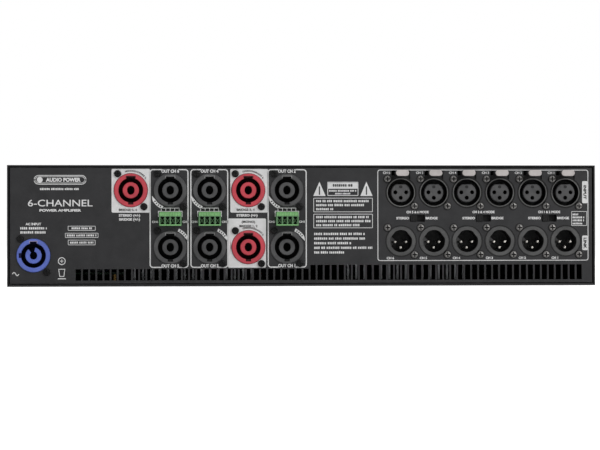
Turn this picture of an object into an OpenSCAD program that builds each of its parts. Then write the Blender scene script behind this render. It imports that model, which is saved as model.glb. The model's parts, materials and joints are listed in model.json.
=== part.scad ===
// Six-channel power amplifier, two rack units high, with its sockets on the rear face.
// +X is to the right when facing the rear, -Y is the rear, +Y the front, and Z = 0 is the underside.

/* [Case] */
// Width of the case between the rack ears
case_w = 430; // [425:0.5:436]
// Height of the case
case_h = 88.1; // [87.6:0.1:88.6]
// Depth of the case behind the front panel
case_d = 380; // [370:1:400]
// Thickness of the cover sheet
cover_t = 1.2; // [1:0.1:1.5]
// Thickness of the tray and rear panel sheet
sheet_t = 1.5; // [1.2:0.1:1.8]
// Gap between the cover and the sheet inside it
cover_gap = 0.3; // [0.2:0.1:0.5]

/* [Rear panel] */
// Width of the rear panel
panel_w = 425.8; // [424:0.1:426.4]
// How far the rear panel sits inside the case's rear edge
panel_recess = 1; // [0.5:0.1:2]
// Number of vent slots
vent_count = 72; // [40:1:72]
// Distance from one vent slot to the next
vent_pitch = 5.17; // [5:0.01:5.17]
// Width of a vent slot
vent_w = 3.9; // [3:0.1:3.9]

/* [Output sockets] */
// Distance between the columns of output sockets
out_pitch = 28.2; // [27.8:0.1:28.4]
// Centre height of the upper output sockets
out_hi_z = 69.9; // [69.6:0.1:70.2]
// Centre height of the lower output sockets
out_lo_z = 28.4; // [28:0.1:28.7]
// Radius of the socket ring that stands through the panel
out_ring_r = 12.1; // [12:0.1:12.3]
// Depth of the socket behind the panel
out_depth = 24; // [20:1:28]

/* [Input sockets] */
// Distance between the columns of input and link sockets
in_pitch = 24.36; // [24.2:0.01:24.6]
// Centre height of the input sockets
in_z = 68.2; // [68:0.1:68.3]
// Centre height of the link sockets
link_z = 32.6; // [32:0.1:32.8]
// Depth of the input and link sockets behind the panel
in_depth = 22; // [20:1:26]
// How far the latch tabs stand out of the panel
latch_out = 11; // [9:0.5:12]

/* [Front panel] */
// Width over the rack ears
rack_w = 482.6; // [482:0.1:483]
// Thickness of the front panel
front_t = 4; // [3:0.5:5]
// Distance between the left and right rack slots
rack_hole_x = 465.1; // [465:0.1:466]
// Distance between the upper and lower rack slots
rack_hole_z = 76.2; // [76:0.1:76.4]
// How far the handles stand out of the front panel
handle_out = 34; // [30:1:40]
// Distance between the gain knobs
knob_pitch = 24; // [20:1:25]

/* [Fans] */
// Side of the square fan frame
fan_size = 80; // [80:1:80]
// Depth of the fan frame
fan_d = 25; // [20:1:25]
// Distance of the fan centres from the middle
fan_x = 148; // [144:1:150]

/* [Hidden] */
$fn = 48;

slack = 1;                    // extra length of a cut, so that it runs past a face
fit = 0.1;                    // radial clearance of a running part
seat = 0.05;                  // clearance around a part that is pushed into its seat

// stations along the depth
tab_out = latch_out - panel_recess;
rear_y = tab_out - (tab_out + case_d + front_t + handle_out) / 2;
face_y = rear_y + panel_recess;      // outer face of the rear panel
back_y = face_y + sheet_t;           // inner face of the rear panel
front_y = rear_y + case_d;           // back face of the front panel
nose_y = front_y + front_t;          // outer face of the front panel

// case
tray_w = case_w - 2 * (cover_t + cover_gap);
tray_h = case_h - cover_t - cover_gap;
panel_z = 2.2;                       // lowest edge of the rear panel
panel_h = 84.1;
panel_fold = 12;                     // depth of the rear panel's folded edges
flange_w = 10;                       // width of the tray's top flange
front_flange_w = 15;                 // width of the tray's front flange
screw_r = 1.45;
screw_hole_r = 1.6;
head_r = 2.8;
side_screw_z = 66;
side_screw_y = [back_y + 6, -70, 60, front_y - 12];
top_screw_y = [-120, 0, 120];
top_screw_x = tray_w / 2 - 5.5;
rear_top_screw_x = [-160, 18, 132.4];   // clear of the sockets and latches

// vents
vent_x = -165.7;
vent_z = 4.3;
vent_short = 8.4;
vent_long = 11.1;
vent_short_count = 33;

// output side
out_x = -125;
out_shift = [-0.8, -0.4, 0, 0, 0];   // how far each column lies off the even pitch
flange_size = [26, 29.6];
flange_t = 2.5;
ring_proud = 1.2;
well_r = 8.95;
hub_r = 5.9;
hub_hole_r = 2.55;
well_depth = 16;
out_screw = [9.5, 12];
inlet_x = -196.1;
inlet_z = 22.6;
output_places = [for (z = [out_hi_z, out_lo_z], c = [1, 2, 4]) [column_x(c), z]];
bridge_places = [[column_x(0), out_hi_z], [column_x(3), out_hi_z], [column_x(3), out_lo_z]];
inlet_place = [inlet_x, inlet_z];

// pluggable terminals
term_columns = [1, 2, 4];
term_z = 49.6;
term_pitch = 3.81;
header_size = [17.4, 9];
header_depth = 12;
header_wall = 0.8;
plug_size = [16.2, 10.2];
plug_drop = 0.6;                     // plug's middle below the header's
plug_out = 8.5;
board_gap = 2;                       // from the back of the sockets to the board behind them

// input side
in_x0 = 71.5;
shell_r = 10.5;
socket_hole_r = 11.05;
socket_w = 23.6;
body_w = 21;
body_lo = -11;
body_hi = 10.6;
in_screw = 9.9;
latch_w = 9.7;
latch_lo = 11.8;
latch_hi = 16.3;
latch_gap = 7;                       // half width of the panel's notch around a latch
pivot_back = 14;                     // latch pivot behind the panel's inner face
pivot_up = 14;                       // latch pivot above the socket's centre
mode_z = 49.4;
mode_window = [11, 5.3];
mode_key = 4.6;
mode_travel = 5.5;

// front side
ear_relief = 0.5;                    // how far the backs of the rack ears lie off the panel's back
front_h = 87.7;
front_z = 0.2;
mid_z = case_h / 2;
fan_hole = fan_size / 2 - 4.25;
fan_bore_r = 38.2;
grille_d = 6.5;
grille_size = [88, 81];
window_size = [84, 60];
fan_y = front_y - grille_d;          // front face of the fans
handle_x = 204;
handle_z = [14, 74];
handle_r = 4.5;
bend_r = 9;
knob_x1 = 70;
knob_z = 34;
knob_r = 8;
knob_h = 14;
board_t = 1.6;
control_y = front_y - 14.4;          // front face of the control board
signal_z = 56;
clip_z = 64;
lamp_r = 1.5;
rocker_x = -84;
rocker_z = 40;
rocker_tilt = 10;
pivot_in = 1.5;                      // rocker pivot behind the front panel's face

// inside
sink_x = 80;
sink_w = 89;
sink_y = [-160, 70];
sink_top = 44;
fin_count = 15;
fin_t = 1.6;
amp_board_z = 50;
supply_z = 8;
supply_x = -169;
supply_w = 74;

function knob_x(i) = knob_x1 - knob_pitch * (i - 1);
function in_x(ch) = in_x0 + (6 - ch) * in_pitch;
function mode_x(i) = (in_x(2 * i - 1) + in_x(2 * i)) / 2;
function column_x(c) = out_x + c * out_pitch + out_shift[c];
function term_x(i) = column_x(term_columns[i - 1]);

// ---------------------------------------------------------------- helpers

// a plan drawn in X and Z, carried along Y from y0 to y1
module along_y(y0, y1) {
    translate([0, y1, 0]) rotate([90, 0, 0]) linear_extrude(y1 - y0) children();
}

module rod_y(r, y0, y1) {
    translate([0, y0, 0]) rotate([-90, 0, 0]) cylinder(r = r, h = y1 - y0);
}

module rod_x(r, x0, x1) {
    translate([x0, 0, 0]) rotate([0, 90, 0]) cylinder(r = r, h = x1 - x0);
}

// a block by its lowest corner and its highest corner
module block(a, b) {
    translate(a) cube(b - a);
}

module centred(size) {
    translate([-size[0] / 2, -size[1] / 2]) square(size);
}

module rounded(size, r) {
    centred([size[0] - 2 * r, size[1]]);
    centred([size[0], size[1] - 2 * r]);
    for (x = [-1, 1], z = [-1, 1])
        translate([x * (size[0] / 2 - r), z * (size[1] / 2 - r)]) circle(r);
}

// a slot with round ends along X
module slot_2d(length, r) {
    centred([length - 2 * r, 2 * r]);
    for (s = [-1, 1]) translate([s * (length / 2 - r), 0]) circle(r);
}

// the two screw places on a diagonal of a socket
module on_diagonal(dx, dz) {
    for (s = [-1, 1]) translate([-s * dx, s * dz]) children();
}

// countersunk screw whose head face lies at Z = 0 and whose shank points down
module countersunk(r, head, head_h, length) {
    difference() {
        union() {
            translate([0, 0, -head_h]) cylinder(r1 = r, r2 = head, h = head_h);
            translate([0, 0, -length]) cylinder(r = r, h = length);
        }
        for (a = [0, 90]) rotate(a) translate([0, 0, -0.35]) cube([head * 1.1, 0.6, 0.8], center = true);
    }
}

module countersink(r, head, head_h, length) {
    translate([0, 0, -head_h]) cylinder(r1 = r, r2 = head, h = head_h);
    translate([0, 0, -length]) cylinder(r = r, h = length);
    cylinder(r = head, h = slack);
}

// pan-head screw whose head seats on the plane Y = 0 and whose shank runs towards +Y
module pan_screw(head, head_h, shank, length) {
    difference() {
        union() {
            rod_y(head, -head_h * 0.6, 0);
            translate([0, -head_h * 0.6, 0]) rotate([90, 0, 0])
                cylinder(r1 = head, r2 = head * 0.72, h = head_h * 0.4);
            rod_y(shank, -0.1, length);
        }
        for (a = [0, 90]) rotate([0, a, 0])
            translate([0, -head_h, 0]) cube([head * 1.2, head_h * 0.9, 0.7], center = true);
    }
}

// ---------------------------------------------------------------- case

module side_screw_places() {
    for (s = [-1, 1], y = side_screw_y)
        translate([s * case_w / 2, y, side_screw_z]) rotate([0, s * 90, 0]) children();
}

module top_screw_places() {
    for (s = [-1, 1], y = top_screw_y) translate([s * top_screw_x, y, case_h]) children();
    for (x = rear_top_screw_x) translate([x, back_y + 6, case_h]) children();
}

module chassis_tray() {
    color("dimgray") difference() {
        union() {
            block([-tray_w / 2, rear_y, 0], [tray_w / 2, front_y, sheet_t]);
            for (s = [0, 1]) mirror([s, 0, 0]) {
                block([tray_w / 2 - sheet_t, back_y + fit, 0], [tray_w / 2, front_y, tray_h]);
                block([tray_w / 2 - flange_w, back_y + fit, tray_h - sheet_t],
                      [tray_w / 2, front_y, tray_h]);
                block([tray_w / 2 - front_flange_w, front_y - sheet_t, 0],
                      [tray_w / 2, front_y, tray_h]);
            }
        }
        side_screw_places() translate([0, 0, -8]) cylinder(r = screw_hole_r, h = 8);
        top_screw_places() translate([0, 0, -8]) cylinder(r = screw_hole_r, h = 8);
        for (s = [-1, 1], z = handle_z)
            translate([s * handle_x, 0, z]) rod_y(2.7, front_y - sheet_t - slack, front_y + slack);
    }
}

module top_cover() {
    color([0.07, 0.07, 0.075]) difference() {
        union() {
            block([-case_w / 2, rear_y, case_h - cover_t], [case_w / 2, front_y, case_h]);
            for (s = [0, 1]) mirror([s, 0, 0])
                block([case_w / 2 - cover_t, rear_y, 0], [case_w / 2, front_y, case_h]);
        }
        side_screw_places() countersink(screw_hole_r, head_r + fit, cover_t, 2 * cover_t);
        top_screw_places() countersink(screw_hole_r, head_r + fit, cover_t, 2 * cover_t);
    }
}

module cover_screws() {
    color([0.12, 0.12, 0.12]) {
        side_screw_places() countersunk(screw_r, head_r, cover_t, 5.5);
        top_screw_places() countersunk(screw_r, head_r, cover_t, 5.5);
    }
}

// ---------------------------------------------------------------- rear panel

module vent_slots() {
    for (i = [0:vent_count - 1])
        translate([vent_x + i * vent_pitch, vent_z])
            square([vent_w, i < vent_short_count ? vent_short : vent_long]);
}

module rear_holes() {
    for (p = concat(output_places, bridge_places, [inlet_place])) translate(p) {
        circle(out_ring_r + 0.3);
        on_diagonal(out_screw[0], out_screw[1]) circle(screw_hole_r);
    }
    for (ch = [1:6]) {
        translate([in_x(ch), in_z]) {
            circle(socket_hole_r);
            translate([-latch_gap, 0]) square([2 * latch_gap, latch_hi + 0.4]);
            on_diagonal(in_screw, in_screw) circle(screw_hole_r);
        }
        translate([in_x(ch), link_z]) {
            circle(socket_hole_r);
            on_diagonal(in_screw, in_screw) circle(screw_hole_r);
        }
    }
    for (i = [1:3]) {
        translate([term_x(i), term_z]) centred(header_size + [0.6, 0.6]);
        translate([mode_x(i), mode_z]) centred(mode_window);
    }
    vent_slots();
}

module rear_panel() {
    side_x = tray_w / 2 - sheet_t - 0.2;
    color([0.23, 0.23, 0.24]) {
        difference() {
            union() {
                along_y(face_y, back_y)
                    translate([-panel_w / 2, panel_z]) square([panel_w, panel_h]);
                block([-200, face_y, panel_z + panel_h - sheet_t],
                      [200, back_y + panel_fold, panel_z + panel_h]);
                block([-200, face_y, panel_z], [200, back_y + panel_fold, panel_z + sheet_t]);
                for (s = [0, 1]) mirror([s, 0, 0])
                    block([side_x - sheet_t, face_y, 8], [side_x, back_y + panel_fold, 80]);
            }
            along_y(face_y - slack, back_y) rear_holes();
            side_screw_places() translate([0, 0, -8]) cylinder(r = screw_hole_r, h = 8);
            top_screw_places() translate([0, 0, -8]) cylinder(r = screw_hole_r, h = 8);
        }
    }
}

// ---------------------------------------------------------------- twist-lock sockets

// ring with two keyways around a deep well, and a hub that is pushed in from behind and carries the contacts
module twist_socket(key_top, key_side, side_angle, hub_hole, hub_notch) {
    mouth_y = face_y - ring_proud - slack;
    difference() {
        union() {
            along_y(back_y, back_y + flange_t) rounded(flange_size, 3);
            rod_y(out_ring_r, face_y - ring_proud, back_y + out_depth);
        }
        rod_y(well_r, mouth_y, face_y + well_depth);
        rod_y(hub_r + seat, face_y + well_depth - slack, back_y + out_depth + slack);
        block([-key_top / 2, mouth_y, well_r - 2], [key_top / 2, face_y + 3, 10.1]);
        rotate([0, side_angle, 0])
            block([-key_side / 2, mouth_y, well_r - 2], [key_side / 2, face_y - 0.2, 10.4]);
        on_screw_axes() rod_y(screw_hole_r, back_y - slack, back_y + flange_t + slack);
    }
    difference() {
        rod_y(hub_r, face_y, back_y + out_depth + board_gap);
        rod_y(hub_hole, face_y - slack, face_y + well_depth);
        if (hub_notch) block([-hub_hole, face_y - slack, 0], [hub_hole - 1, face_y + 3, hub_r + slack]);
    }
}

module on_screw_axes() {
    for (s = [-1, 1]) translate([-s * out_screw[0], 0, s * out_screw[1]]) children();
}

module output_sockets() {
    color([0.3, 0.3, 0.3]) for (p = output_places) translate([p[0], 0, p[1]])
        twist_socket(6.4, 3.8, 180, hub_hole_r, false);
}

module bridge_sockets() {
    color([0.78, 0.25, 0.3]) for (p = bridge_places) translate([p[0], 0, p[1]])
        twist_socket(6.4, 3.8, 180, hub_hole_r, false);
}

module mains_inlet() {
    color([0.32, 0.42, 0.8]) translate([inlet_x, 0, inlet_z])
        twist_socket(5, 3.5, -90, 2.75, true);
}

module output_screws() {
    color([0.1, 0.1, 0.1]) for (p = concat(output_places, bridge_places, [inlet_place]))
        translate([p[0], face_y, p[1]]) on_screw_axes() pan_screw(2.65, 1.8, screw_r, 7);
}

// ---------------------------------------------------------------- pluggable terminals

module on_poles() {
    for (k = [-1.5:1:1.5]) translate([k * term_pitch, 0, 0]) children();
}

module terminal_headers() {
    color([0.3, 0.5, 0.32]) for (i = [1:3]) translate([term_x(i), 0, term_z]) {
        difference() {
            along_y(face_y, back_y + header_depth) centred(header_size);
            along_y(face_y - slack, back_y + header_depth - 3)
                centred(header_size - 2 * [header_wall, header_wall]);
        }
        on_poles() block([-0.5, back_y + 2, -0.5], [0.5, back_y + out_depth + board_gap, 0.5]);
    }
}

module terminal_plug(i) {
    cell = [2.9, 5.9];
    nose = header_size - 2 * [header_wall + 0.3, header_wall + 0.3];
    color([0.48, 0.72, 0.48]) translate([term_x(i), 0, term_z]) {
        difference() {
            union() {
                along_y(face_y - plug_out, face_y - 0.3) translate([0, -plug_drop]) centred(plug_size);
                along_y(face_y - 1, back_y + 7) centred(nose);
            }
            on_poles() {
                along_y(face_y - plug_out - slack, face_y - plug_out + 6)
                    translate([0, -1.95]) centred(cell);
                along_y(back_y + 1, back_y + 8) centred([1.9, 1.9]);
                translate([0, face_y - 4.5, 1.75]) cylinder(r = 1.5, h = 6);
            }
        }
        on_poles() translate([0, face_y - 4.5, 1.8]) difference() {
            cylinder(r = 1.35, h = 2.4);
            translate([0, 0, 2.4]) cube([3, 0.5, 1.2], center = true);
        }
    }
}

// ---------------------------------------------------------------- input and link sockets

module square_flange(notched) {
    difference() {
        translate([-socket_w / 2, -13]) square([socket_w, 25.6]);
        if (notched) translate([-latch_gap, body_hi]) square([2 * latch_gap, 6]);
        on_diagonal(in_screw, in_screw) circle(screw_hole_r);
    }
}

// places of the three contacts, mirrored top to bottom between the two kinds of socket
module on_contacts(side_z, low_z) {
    for (p = [[-4, side_z], [4, side_z], [0, low_z]]) translate([p[0], 0, p[1]]) children();
}

// shell with the latch's bearings, and an insert with three contact holes that is pushed in from behind
module input_socket() {
    insert_r = 6.8;
    insert_flat = 5.9;
    gap_r = 9.75;
    floor_y = back_y + 12;
    end_y = back_y + in_depth;
    ear_in = latch_w / 2 + 0.55;
    ear_out = ear_in + 2;
    difference() {
        union() {
            along_y(back_y, back_y + 2) square_flange(true);
            along_y(back_y, end_y)
                translate([-body_w / 2, body_lo]) square([body_w, body_hi - body_lo]);
            rod_y(shell_r, face_y - 0.1, back_y + 1);
            for (s = [0, 1]) mirror([s, 0, 0])
                block([ear_in, back_y + pivot_back - 3, body_hi - slack],
                      [ear_out, back_y + pivot_back + 3, 16]);
        }
        rod_y(gap_r, face_y - slack, floor_y);
        rod_y(insert_r + seat, floor_y - slack, end_y + slack);
        translate([0, back_y + pivot_back, pivot_up]) rod_x(1 + fit, -9, 9);
        along_y(back_y - slack, back_y + 8) on_diagonal(in_screw, in_screw) circle(screw_hole_r);
    }
    difference() {
        intersection() {
            rod_y(insert_r, face_y + 1, end_y);
            block([-10, face_y, -10], [10, end_y + slack, insert_flat]);
        }
        on_contacts(0.2, -3.8) rod_y(1.45, face_y, floor_y);
    }
}

module input_sockets() {
    color([0.5, 0.5, 0.5]) for (ch = [1:6]) translate([in_x(ch), 0, in_z]) input_socket();
}

// push tab, arm and pivot pin in one piece
module input_latch(ch) {
    color([0.78, 0.75, 0.74]) translate([in_x(ch), 0, in_z]) {
        difference() {
            union() {
                along_y(face_y - latch_out, back_y + 3) latch_face();
                block([-latch_w / 2, back_y, latch_lo + 0.5],
                      [latch_w / 2, back_y + pivot_back + 2, latch_hi - 0.9]);
            }
            for (k = [0:2])
                translate([0, face_y - latch_out + 2 + 1.6 * k, latch_hi]) cube([7, 0.6, 0.6], center = true);
        }
        translate([0, back_y + pivot_back, pivot_up])
            rod_x(1, -latch_w / 2 - 2.4, latch_w / 2 + 2.4);
    }
}

// outline of the latch tab: square above, rounded below
module latch_face() {
    r = 2.2;
    translate([-latch_w / 2, latch_lo + r]) square([latch_w, latch_hi - latch_lo - r]);
    translate([-latch_w / 2 + r, latch_lo]) square([latch_w - 2 * r, r]);
    for (s = [-1, 1]) translate([s * (latch_w / 2 - r), latch_lo + r]) circle(r);
}

module link_socket() {
    difference() {
        union() {
            along_y(back_y, back_y + 2) square_flange(false);
            along_y(back_y, back_y + in_depth)
                translate([-body_w / 2, body_lo]) square([body_w, body_hi - body_lo]);
            rod_y(10.3, face_y - 0.1, back_y + 1);
        }
        rod_y(8, face_y - slack, back_y + 14);
        along_y(back_y - slack, back_y + 8) on_diagonal(in_screw, in_screw) circle(screw_hole_r);
    }
}

module link_sockets() {
    color([0.45, 0.45, 0.45]) for (ch = [1:6]) translate([in_x(ch), 0, link_z]) link_socket();
}

module link_pins() {
    color([0.85, 0.83, 0.78]) for (ch = [1:6]) translate([in_x(ch), 0, link_z])
        on_contacts(-0.5, -4.7) {
            rod_y(1, face_y + 3.2, back_y + 14);
            translate([0, face_y + 3.2, 0]) rotate([90, 0, 0]) cylinder(r1 = 1, r2 = 0.6, h = 0.7);
        }
}

module input_screws() {
    color([0.75, 0.75, 0.75]) for (ch = [1:6], z = [in_z, link_z], s = [-1, 1])
        translate([in_x(ch) - s * in_screw, face_y, z + s * in_screw])
            pan_screw(2.5, 1.7, screw_r, 8);
}

// ---------------------------------------------------------------- mode switches

module mode_switch_bodies() {
    color([0.15, 0.15, 0.15]) for (i = [1:3]) translate([mode_x(i), 0, mode_z]) difference() {
        along_y(back_y, back_y + 6) centred([14, 7]);
        along_y(back_y - slack, back_y + 3) centred([mode_window[0] + 0.4, mode_window[1]]);
    }
}

module mode_slider(i) {
    color([0.05, 0.05, 0.05]) translate([mode_x(i) - mode_travel / 2, 0, mode_z]) difference() {
        along_y(face_y - 1, back_y + 2.8) centred([mode_key, mode_key]);
        for (k = [-1:1]) translate([k * 1.3, face_y - 1, 0]) cube([0.5, 0.8, mode_key + slack], center = true);
    }
}

// ---------------------------------------------------------------- front panel

module fan_screw_places() {
    for (f = [-1, 1], x = [-1, 1], z = [-1, 1])
        translate([f * fan_x + x * fan_hole, 0, mid_z + z * fan_hole]) children();
}

module front_panel() {
    color([0.1, 0.1, 0.105]) difference() {
        along_y(front_y, nose_y) difference() {
            translate([0, front_z + front_h / 2]) rounded([rack_w, front_h], 2);
            for (s = [-1, 1], v = [-1, 1])
                translate([s * rack_hole_x / 2, mid_z + v * rack_hole_z / 2]) slot_2d(10, 3.25);
            for (s = [-1, 1]) translate([s * fan_x, mid_z]) rounded(window_size, 3);
            for (i = [1:6]) {
                translate([knob_x(i), knob_z]) circle(3.7);
                translate([knob_x(i), signal_z]) circle(lamp_r + fit);
                translate([knob_x(i), clip_z]) circle(lamp_r + fit);
            }
            translate([rocker_x, clip_z]) circle(lamp_r + fit);
            translate([rocker_x, rocker_z]) centred([13.2, 19.4]);
            for (s = [-1, 1], z = handle_z) translate([s * handle_x, z]) circle(2.6);
        }
        for (s = [0, 1]) mirror([s, 0, 0])
            block([case_w / 2 + 1.5, front_y - slack, -slack],
                  [rack_w / 2 + slack, front_y + ear_relief, case_h + slack]);
        fan_screw_places() translate([0, nose_y, 0]) rotate([-90, 0, 0])
            countersink(2.15, 4 + fit, 2.3, front_t + slack);
    }
}

module front_screws() {
    color([0.14, 0.14, 0.14]) {
        fan_screw_places() translate([0, nose_y, 0]) rotate([-90, 0, 0])
            countersunk(2, 4, 2.3, 22);
        for (s = [-1, 1], z = handle_z)
            translate([s * handle_x, front_y - sheet_t, z]) pan_screw(4.5, 3, 2.45, sheet_t + front_t + 9);
    }
}

module handle(side) {
    grip_y = nose_y + handle_out - handle_r;
    bend_y = grip_y - bend_r;
    color([0.12, 0.12, 0.12]) translate([side * handle_x, 0, 0]) {
        for (v = [0, 1]) {
            end_z = handle_z[v];
            turn = v == 0 ? 1 : -1;
            translate([0, 0, end_z]) difference() {
                union() {
                    rod_y(handle_r, nose_y, bend_y);
                    rod_y(handle_r + 1.5, nose_y, nose_y + 2.5);
                }
                rod_y(2.5, nose_y - slack, nose_y + 10);
            }
            translate([0, bend_y, end_z + turn * bend_r]) rotate([90, 0, 90])
                rotate(v == 0 ? -90 : 0) rotate_extrude(angle = 90)
                    translate([bend_r, 0]) circle(handle_r);
        }
        translate([0, grip_y, handle_z[0] + bend_r])
            cylinder(r = handle_r, h = handle_z[1] - handle_z[0] - 2 * bend_r);
    }
}

module intake_grilles() {
    color([0.13, 0.13, 0.13]) for (s = [-1, 1]) translate([s * fan_x, 0, mid_z]) difference() {
        union() {
            along_y(fan_y, front_y) difference() {
                rounded(grille_size, 3);
                centred(grille_size - [4, 4]);
            }
            along_y(front_y - 1.5, front_y) rounded(grille_size, 3);
            along_y(fan_y, front_y) for (x = [-1, 1], z = [-1, 1])
                translate([x * fan_hole, z * fan_hole]) circle(4.4);
        }
        for (x = [-1, 1], k = [-5:5])
            along_y(front_y - 2, front_y + slack) translate([x * 21, k * 5.2]) slot_2d(38, 1.3);
        for (x = [-1, 1], z = [-1, 1])
            translate([x * fan_hole, 0, z * fan_hole]) rod_y(2.15, fan_y - slack, front_y + slack);
    }
}

module dust_filters() {
    color([0.2, 0.2, 0.2]) for (s = [-1, 1]) translate([s * fan_x, 0, mid_z])
        along_y(fan_y + 0.2, front_y - 1.6) rounded([83, 61], 2);
}

// ---------------------------------------------------------------- fans

module fan_frame(side) {
    hub_t = 3;
    color([0.1, 0.1, 0.1]) translate([side * fan_x, 0, mid_z]) {
        difference() {
            along_y(fan_y - fan_d, fan_y) rounded([fan_size, fan_size], 4);
            rod_y(fan_bore_r, fan_y - fan_d - slack, fan_y + slack);
            for (x = [-1, 1], z = [-1, 1])
                translate([x * fan_hole, 0, z * fan_hole]) rod_y(2.15, fan_y - fan_d - slack, fan_y + slack);
        }
        difference() {
            union() {
                rod_y(17, fan_y - fan_d, fan_y - fan_d + hub_t);
                for (a = [45:90:315]) rotate([0, a, 0])
                    block([10, fan_y - fan_d, -2.5], [fan_bore_r + 1, fan_y - fan_d + hub_t, 2.5]);
            }
            rod_y(1.5 + fit, fan_y - fan_d - slack, fan_y - fan_d + hub_t + slack);
        }
    }
}

module fan_rotor(side) {
    blades = 7;
    y0 = fan_y - fan_d + 4;
    y1 = fan_y - 1.5;
    color([0.16, 0.16, 0.17]) translate([side * fan_x, 0, mid_z]) {
        rod_y(15.5, y0, y1);
        rod_y(1.5, fan_y - fan_d + 0.5, y0 + 1);
        intersection() {
            for (k = [0:blades - 1]) rotate([0, k * 360 / blades, 0])
                translate([26, (y0 + y1) / 2, 0]) rotate([side * 42, 0, 0])
                    cube([26, 30, 1.8], center = true);
            rod_y(fan_bore_r - 1.2, y0 + 1, y1 - 1);
        }
    }
}

// ---------------------------------------------------------------- controls

module gain_pots() {
    color([0.35, 0.35, 0.33]) for (i = [1:6]) translate([knob_x(i), 0, knob_z]) difference() {
        union() {
            along_y(control_y, front_y - 6) centred([12, 12]);
            rod_y(3.5, front_y - 6.5, nose_y + 0.8);
        }
        rod_y(3 + fit, control_y + 2, nose_y + 2);
    }
}

module gain_knob(i) {
    base_y = nose_y + 1.3;
    color([0.08, 0.08, 0.08]) translate([knob_x(i), 0, knob_z]) {
        rod_y(3, control_y + 2.5, base_y + 1);
        difference() {
            translate([0, base_y, 0]) rotate([-90, 0, 0]) rotate_extrude()
                polygon([[0, 0], [knob_r, 0], [knob_r, 2], [knob_r - 0.8, 3],
                         [knob_r - 1.6, knob_h - 1], [knob_r - 2.4, knob_h], [0, knob_h]]);
            block([-0.5, base_y + knob_h - 0.6, 1.5], [0.5, base_y + knob_h + slack, knob_r]);
            for (k = [0:11]) rotate([0, 15 + k * 30, 0])
                translate([knob_r + 0.9, 0, 0]) rod_y(2, base_y + 3.2, base_y + knob_h + slack);
        }
    }
}

module lamp() {
    rod_y(lamp_r, control_y, nose_y);
    translate([0, nose_y, 0]) rotate([-90, 0, 0]) cylinder(r1 = lamp_r, r2 = 0.9, h = 0.8);
    rod_y(2.2, control_y, control_y + 3);
}

module signal_lamps() {
    color([0.3, 0.7, 0.35]) for (i = [1:6]) translate([knob_x(i), 0, signal_z]) lamp();
}

module clip_lamps() {
    color([0.8, 0.2, 0.2]) for (i = [1:6]) translate([knob_x(i), 0, clip_z]) lamp();
}

module power_lamp() {
    color([0.3, 0.45, 0.9]) translate([rocker_x, 0, clip_z]) lamp();
}

module power_switch_body() {
    color([0.12, 0.12, 0.12]) translate([rocker_x, 0, rocker_z]) difference() {
        union() {
            along_y(front_y - 12, nose_y + 0.2) centred([12.8, 19]);
            along_y(nose_y, nose_y + 1.6) rounded([15, 21.5], 1.5);
        }
        along_y(nose_y - 8, nose_y + 3) centred([10.4, 17.4]);
        translate([0, nose_y - pivot_in, 0]) rod_x(1.2 + fit, -6.1, 6.1);
    }
}

// rocker with a hollow V front, drawn about its pivot and tilted to one side at rest
module power_rocker() {
    tip = [7.8, 4.1];
    color([0.06, 0.06, 0.06]) translate([rocker_x, nose_y - pivot_in, rocker_z])
        rotate([-rocker_tilt, 0, 0]) {
            translate([-4.9, 0, 0]) rotate([90, 0, 90]) linear_extrude(9.8)
                polygon([[tip[1], tip[0]], [2.6, 0], [tip[1], -tip[0]], [0.8, -tip[0]],
                         [-2, -2.5], [-2, 2.5], [0.8, tip[0]]]);
            rod_x(1.2, -5.9, 5.9);
        }
}

// ---------------------------------------------------------------- inside

module heatsinks() {
    step = (sink_w - fin_t) / (fin_count - 1);
    color("silver") for (s = [-1, 1]) along_y(sink_y[0], sink_y[1]) translate([s * sink_x, 0]) {
        translate([-sink_w / 2, sink_top - 6]) square([sink_w, 6]);
        for (k = [0:fin_count - 1]) {
            foot = k == 0 || k == fin_count - 1 ? sheet_t : 4;
            translate([-sink_w / 2 + k * step, foot]) square([fin_t, sink_top - 5 - foot]);
        }
    }
}

module amplifier_boards() {
    color([0.1, 0.35, 0.2]) for (s = [-1, 1])
        block([s * sink_x - 43, -150, amp_board_z], [s * sink_x + 43, 60, amp_board_z + board_t]);
}

module power_transistors() {
    color([0.1, 0.1, 0.1]) for (s = [-1, 1], k = [0:5]) translate([s * sink_x, -130 + k * 32, 0]) {
        block([-8, 0, sink_top], [8, 20, sink_top + 5]);
        for (x = [-5.4, 0, 5.4]) {
            block([x - 0.6, 19, sink_top + 2], [x + 0.6, 23, sink_top + 3]);
            block([x - 0.6, 22, sink_top + 2], [x + 0.6, 23, amp_board_z]);
        }
    }
}

module output_chokes() {
    color([0.6, 0.35, 0.15]) for (s = [-1, 1], k = [0:2])
        translate([s * sink_x + 22, -110 + k * 60, amp_board_z + board_t + 5])
            rotate_extrude() translate([10, 0]) circle(5);
}

module power_supply_board() {
    color([0.1, 0.35, 0.2])
        block([supply_x - supply_w / 2, -150, supply_z], [supply_x + supply_w / 2, 120, supply_z + board_t]);
}

module supply_transformer() {
    base = supply_z + board_t;
    color([0.25, 0.25, 0.27]) difference() {
        block([supply_x - 22, 0, base], [supply_x + 22, 44, base + 36]);
        for (s = [-1, 1]) block([supply_x + s * 14 - 4, -slack, base + 6],
                                [supply_x + s * 14 + 4, 45, base + 30]);
    }
    color([0.8, 0.65, 0.2]) difference() {
        block([supply_x - 17, 2, base + 7], [supply_x + 17, 42, base + 29]);
        block([supply_x - 10.2, -slack, base + 5], [supply_x + 10.2, 45, base + 31]);
    }
}

module supply_capacitors() {
    base = supply_z + board_t;
    color([0.12, 0.14, 0.2]) for (x = [-15, 15], k = [0:3])
        translate([supply_x + x, -130 + k * 32, base]) cylinder(r = 12.5, h = 45);
}

module input_board() {
    y = back_y + in_depth;
    color([0.1, 0.35, 0.2]) block([57, y, 18], [208, y + board_t, 83]);
}

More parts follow.
